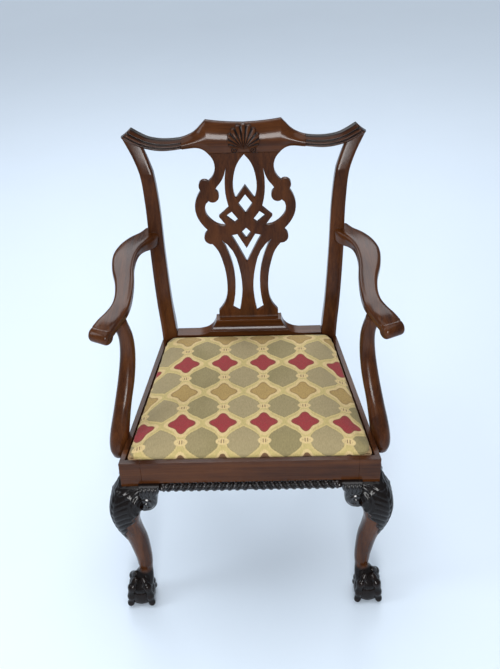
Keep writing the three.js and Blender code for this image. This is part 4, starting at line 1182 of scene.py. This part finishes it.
def seat_cushion():
    """The pad as stuffed cloth, kept inside the seat's rebate, with the place of each point on the
    flat cloth kept for the weave: over the edge the cloth goes on by the height it has fallen."""
    piece = make_piece(
        "seat_cushion", [skin(seat_pad_grid())], finish("lattice"), body=SEAT_BODY,
        slot="lattice_fabric", stands_for=["seat_cover", "seat_stuffing"],
    )
    local = (puff(piece, PAD_LIFT) - ORIGIN) / MM
    inside = np.where(local[:, 2] > RAIL_TOP + 1, LIP - PAD_OVERHANG, LIP + PAD_GAP)
    limit = side_x(local[:, 1], inside)
    local[:, 0] = np.clip(local[:, 0], -limit, limit)
    local[:, 1] = np.clip(local[:, 1], LIP + PAD_GAP, SEAT_BACK + 0.4)
    local[:, 2] = np.clip(local[:, 2], LEDGE + 0.6, CROWN + 2)
    mesh = piece.data
    mesh.vertices.foreach_set("co", (local * MM + ORIGIN).astype(np.float32).ravel())
    x, y, z = local.T
    share = np.abs(x) / side_x(y, LIP)
    fallen = np.clip(RAIL_TOP + 2 - z, 0, None)
    flat_x = x + np.sign(x) * fallen * (share > 0.97)
    flat_y = y - fallen * (y < SEAT_FRONT + 6) + fallen * (y > SEAT_BACK - 6) + 22 * share**5
    flat = np.column_stack([flat_x, flat_y, np.zeros(len(x))]) * MM
    mesh.attributes.new("cloth_place", "FLOAT_VECTOR", "POINT").data.foreach_set(
        "vector", flat.astype(np.float32).ravel()
    )
    mesh.polygons.foreach_set("use_smooth", np.full(len(mesh.polygons), True))
    rounder = piece.modifiers.new("rounder", "SUBSURF")
    rounder.levels = rounder.render_levels = 1


def seat_layers():
    """Webbing, hessian, dust cover and the seat's own frame. A stretched sheet's flat area is its
    length times the mean of its front and back widths."""
    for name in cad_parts:
        if name.startswith("webbing") or name == "seat_hessian":
            dress(name, finish("jute"))
        elif name == "seat_dust_cover":
            dress(name, finish("cambric"))
        elif name.startswith("seat_frame"):
            way = "back" if "side" in name else "across"
            dress(name, finish("beech " + way), BEECH_ROUNDING)
    for name in ("seat_hessian", "seat_dust_cover"):
        low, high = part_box(name)
        front, back = (2 * MM * (side_x(y, SEAT_SIDE + 2)) for y in (SEAT_FRONT, SEAT_BACK))
        size = (high.x - low.x, high.y - low.y)
        size[0] * size[1] * (1 + back / front) / 2


# --- rails, splat and fittings


def rails():
    """Seat rails, splat and shoe: sawn pieces with rounded edges and grain along their length."""
    rounding = bpy.context.scene.armchair_wood.rounding
    for name, share in (("front_seat_rail", 1.8), ("rear_seat_rail", 1), ("splat_shoe", 1)):
        dress(name, finish("mahogany across"), rounding * share)
    for side, _ in SIDES:
        dress(f"side_seat_rail_{side}", finish("mahogany back"), rounding)
    dress("splat", finish("mahogany upright"), rounding * 0.7)


def fittings():
    """Corner blocks and screws inside the seat frame."""
    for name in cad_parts:
        if "screw" in name:
            dress(name, finish("steel"), SCREW_ROUNDING)
        elif name.startswith("corner_block"):
            dress(name, finish("beech across"), BEECH_ROUNDING)


# --- stage

EYE = (38.4, -1394.2, 1859.5)
CAMERA_YAW = -1.145
CAMERA_DOWN = 37.226
CAMERA_ROLL = 1.978
SENSOR_WIDTH = 36.0
FLOOR_REACH = 12.0
WORLD_TINT = (0.82, 0.9, 1.0, 1)
WORLD_STRENGTH = 0.35
SKY_ENERGY = 1.35
SKY_ANGLE = 1.1
# Name, place, the point it faces, width and height in metres, watts, tint
SOFTBOXES = (
    ("bounce", (-0.2, 2.0, 2.3), (0, 0, 0.6), (2.6, 1.0), 37, (0.93, 0.96, 1.0)),
    ("window", (-2.0, -0.6, 2.0), (0, 0, 0.6), (0.7, 1.2), 14, (0.9, 0.95, 1.0)),
    ("lamp in front", (0.0, -2.6, 1.6), (0, 0.2, 0.65), (0.66, 0.95), 46, (1, 1, 1)),
)


def camera_axes():
    """The camera's right, up and backward directions from its yaw, downward pitch and roll."""
    yaw, down, roll = (math.radians(a) for a in (CAMERA_YAW, CAMERA_DOWN, CAMERA_ROLL))
    level_ahead = Vector((math.sin(yaw), math.cos(yaw), 0))
    ahead = level_ahead * math.cos(down) - Vector((0, 0, math.sin(down)))
    level = Vector((math.cos(yaw), -math.sin(yaw), 0))
    below = ahead.cross(level)
    right = level * math.cos(roll) + below * math.sin(roll)
    under = below * math.cos(roll) - level * math.sin(roll)
    return right, -under, -ahead


def softbox(name, place, towards, size, power, tint):
    """A rectangular light that faces a point."""
    light = bpy.data.lights.new(name, "AREA")
    light.shape = "RECTANGLE"
    light.size, light.size_y = size
    light.energy = power * bpy.context.scene.armchair_stage.light
    light.color = tint
    lamp = add_object(name, light)
    lamp.location = place
    lamp.rotation_mode = "QUATERNION"
    lamp.rotation_quaternion = (Vector(towards) - Vector(place)).to_track_quat("-Z", "Y")


def stage():
    """Pale floor, soft light and the camera at a standing person's eye."""
    settings = bpy.context.scene.armchair_stage
    mesh = bpy.data.meshes.new("floor")
    corners = np.array([(-1, -1, 0), (1, -1, 0), (1, 1, 0), (-1, 1, 0)]) * FLOOR_REACH
    mesh.from_pydata(corners, [], [(0, 1, 2, 3)])
    m = Shader("floor")
    mottle = m.noise(m.place(), scale=3.0, detail=3.0)
    tint = m.mix(mottle, dimmed(settings.floor, 0.97), settings.floor)
    mesh.materials.append(m.finish(Base_Color=tint, Roughness=0.6))
    floor = add_object("floor", mesh)

    world = bpy.data.worlds.new("studio")
    world.use_nodes = True
    background = world.node_tree.nodes["Background"]
    background.inputs["Color"].default_value = WORLD_TINT
    background.inputs["Strength"].default_value = WORLD_STRENGTH
    bpy.context.scene.world = world
    for box in SOFTBOXES:
        softbox(*box)
    sky = bpy.data.lights.new("sky", "SUN")
    sky.energy = SKY_ENERGY * settings.light
    sky.angle = SKY_ANGLE
    overhead = add_object("sky", sky)
    overhead.location = (0, 0.4, 3)

    data = bpy.data.cameras.new("camera")
    data.lens = settings.lens
    data.sensor_width = SENSOR_WIDTH
    camera = add_object("camera", data)
    turn = Matrix(camera_axes()).transposed().to_4x4()
    camera.matrix_world = Matrix.Translation(Vector(EYE) * MM + Vector(ORIGIN)) @ turn
    bpy.context.scene.camera = camera
    bpy.context.scene.view_settings.view_transform = "Standard"


# --- operators and panel


class CrestRail(bpy.types.Operator):
    """Crest rail with its carved shell and reeds."""

    bl_idname = "armchair.crest_rail"
    bl_label = "Crest Rail"

    def execute(self, context):
        crest_rail()
        return {"FINISHED"}


class RearPosts(bpy.types.Operator):
    """Raked rear posts, each one length with its leg."""

    bl_idname = "armchair.rear_posts"
    bl_label = "Rear Posts"

    def execute(self, context):
        rear_posts()
        return {"FINISHED"}


class Arms(bpy.types.Operator):
    """Outswept arms with scrolled ends."""

    bl_idname = "armchair.arms"
    bl_label = "Arms"

    def execute(self, context):
        arms()
        return {"FINISHED"}


class ArmSupports(bpy.types.Operator):
    """S-curved supports under the arms."""

    bl_idname = "armchair.arm_supports"
    bl_label = "Arm Supports"

    def execute(self, context):
        arm_supports()
        return {"FINISHED"}


class FrontLegs(bpy.types.Operator):
    """Cabriole legs with carved knees and ball-and-claw feet."""

    bl_idname = "armchair.front_legs"
    bl_label = "Front Legs"

    def execute(self, context):
        front_legs()
        return {"FINISHED"}


class KneeBlocks(bpy.types.Operator):
    """Carved brackets beside the front legs."""

    bl_idname = "armchair.knee_blocks"
    bl_label = "Knee Blocks"

    def execute(self, context):
        knee_blocks()
        return {"FINISHED"}


class Gadroon(bpy.types.Operator):
    """Lobed moulding under the front rail."""

    bl_idname = "armchair.gadroon"
    bl_label = "Gadroon Moulding"

    def execute(self, context):
        gadroon()
        return {"FINISHED"}


class Rails(bpy.types.Operator):
    """Seat rails, pierced splat and its shoe."""

    bl_idname = "armchair.rails"
    bl_label = "Rails, Splat and Shoe"

    def execute(self, context):
        rails()
        return {"FINISHED"}


class Fittings(bpy.types.Operator):
    """Corner blocks and screws of the frame."""

    bl_idname = "armchair.fittings"
    bl_label = "Corner Blocks and Screws"

    def execute(self, context):
        fittings()
        return {"FINISHED"}


class SeatLayers(bpy.types.Operator):
    """The drop-in seat's frame and the cloth on it."""

    bl_idname = "armchair.seat_layers"
    bl_label = "Seat Layers"

    def execute(self, context):
        seat_layers()
        return {"FINISHED"}


class SeatCushion(bpy.types.Operator):
    """Stuffed cushion in its woven cover."""

    bl_idname = "armchair.seat_cushion"
    bl_label = "Seat Cushion"

    def execute(self, context):
        seat_cushion()
        return {"FINISHED"}


class Stage(bpy.types.Operator):
    """Floor, lights and camera."""

    bl_idname = "armchair.stage"
    bl_label = "Stage"

    def execute(self, context):
        stage()
        return {"FINISHED"}


OPERATORS = (
    CrestRail, RearPosts, Arms, ArmSupports, FrontLegs, KneeBlocks, Gadroon, Rails, Fittings,
    SeatLayers, SeatCushion, Stage,
)


class ARMCHAIR_PT_pieces(bpy.types.Panel):
    """Lists the armchair's pieces and their settings."""

    bl_label = "Armchair"
    bl_idname = "ARMCHAIR_PT_pieces"
    bl_space_type = "VIEW_3D"
    bl_region_type = "UI"
    bl_category = "Armchair"

    def draw(self, context):
        column = self.layout.column()
        for made in OPERATORS:
            column.operator(made.bl_idname)
        for name, group in GROUPS.items():
            for key in group.__annotations__:
                column.prop(getattr(context.scene, name), key)


GROUPS = {
    "armchair_wood": ArmchairWood,
    "armchair_fabric": ArmchairFabric,
    "armchair_stage": ArmchairStage,
}


def register():
    """Registers the settings, the operators and the panel."""
    for name, group in GROUPS.items():
        bpy.utils.register_class(group)
        setattr(bpy.types.Scene, name, PointerProperty(type=group))
    for made in [*OPERATORS, ARMCHAIR_PT_pieces]:
        bpy.utils.register_class(made)


def unregister():
    """Takes back what register adds, in the reverse order."""
    for made in reversed([*OPERATORS, ARMCHAIR_PT_pieces]):
        bpy.utils.unregister_class(made)
    for name, group in GROUPS.items():
        delattr(bpy.types.Scene, name)
        bpy.utils.unregister_class(group)


def main():
    register()
    for made in OPERATORS:
        getattr(bpy.ops.armchair, made.bl_idname.split(".")[1])()


if __name__ == "__main__":
    main()
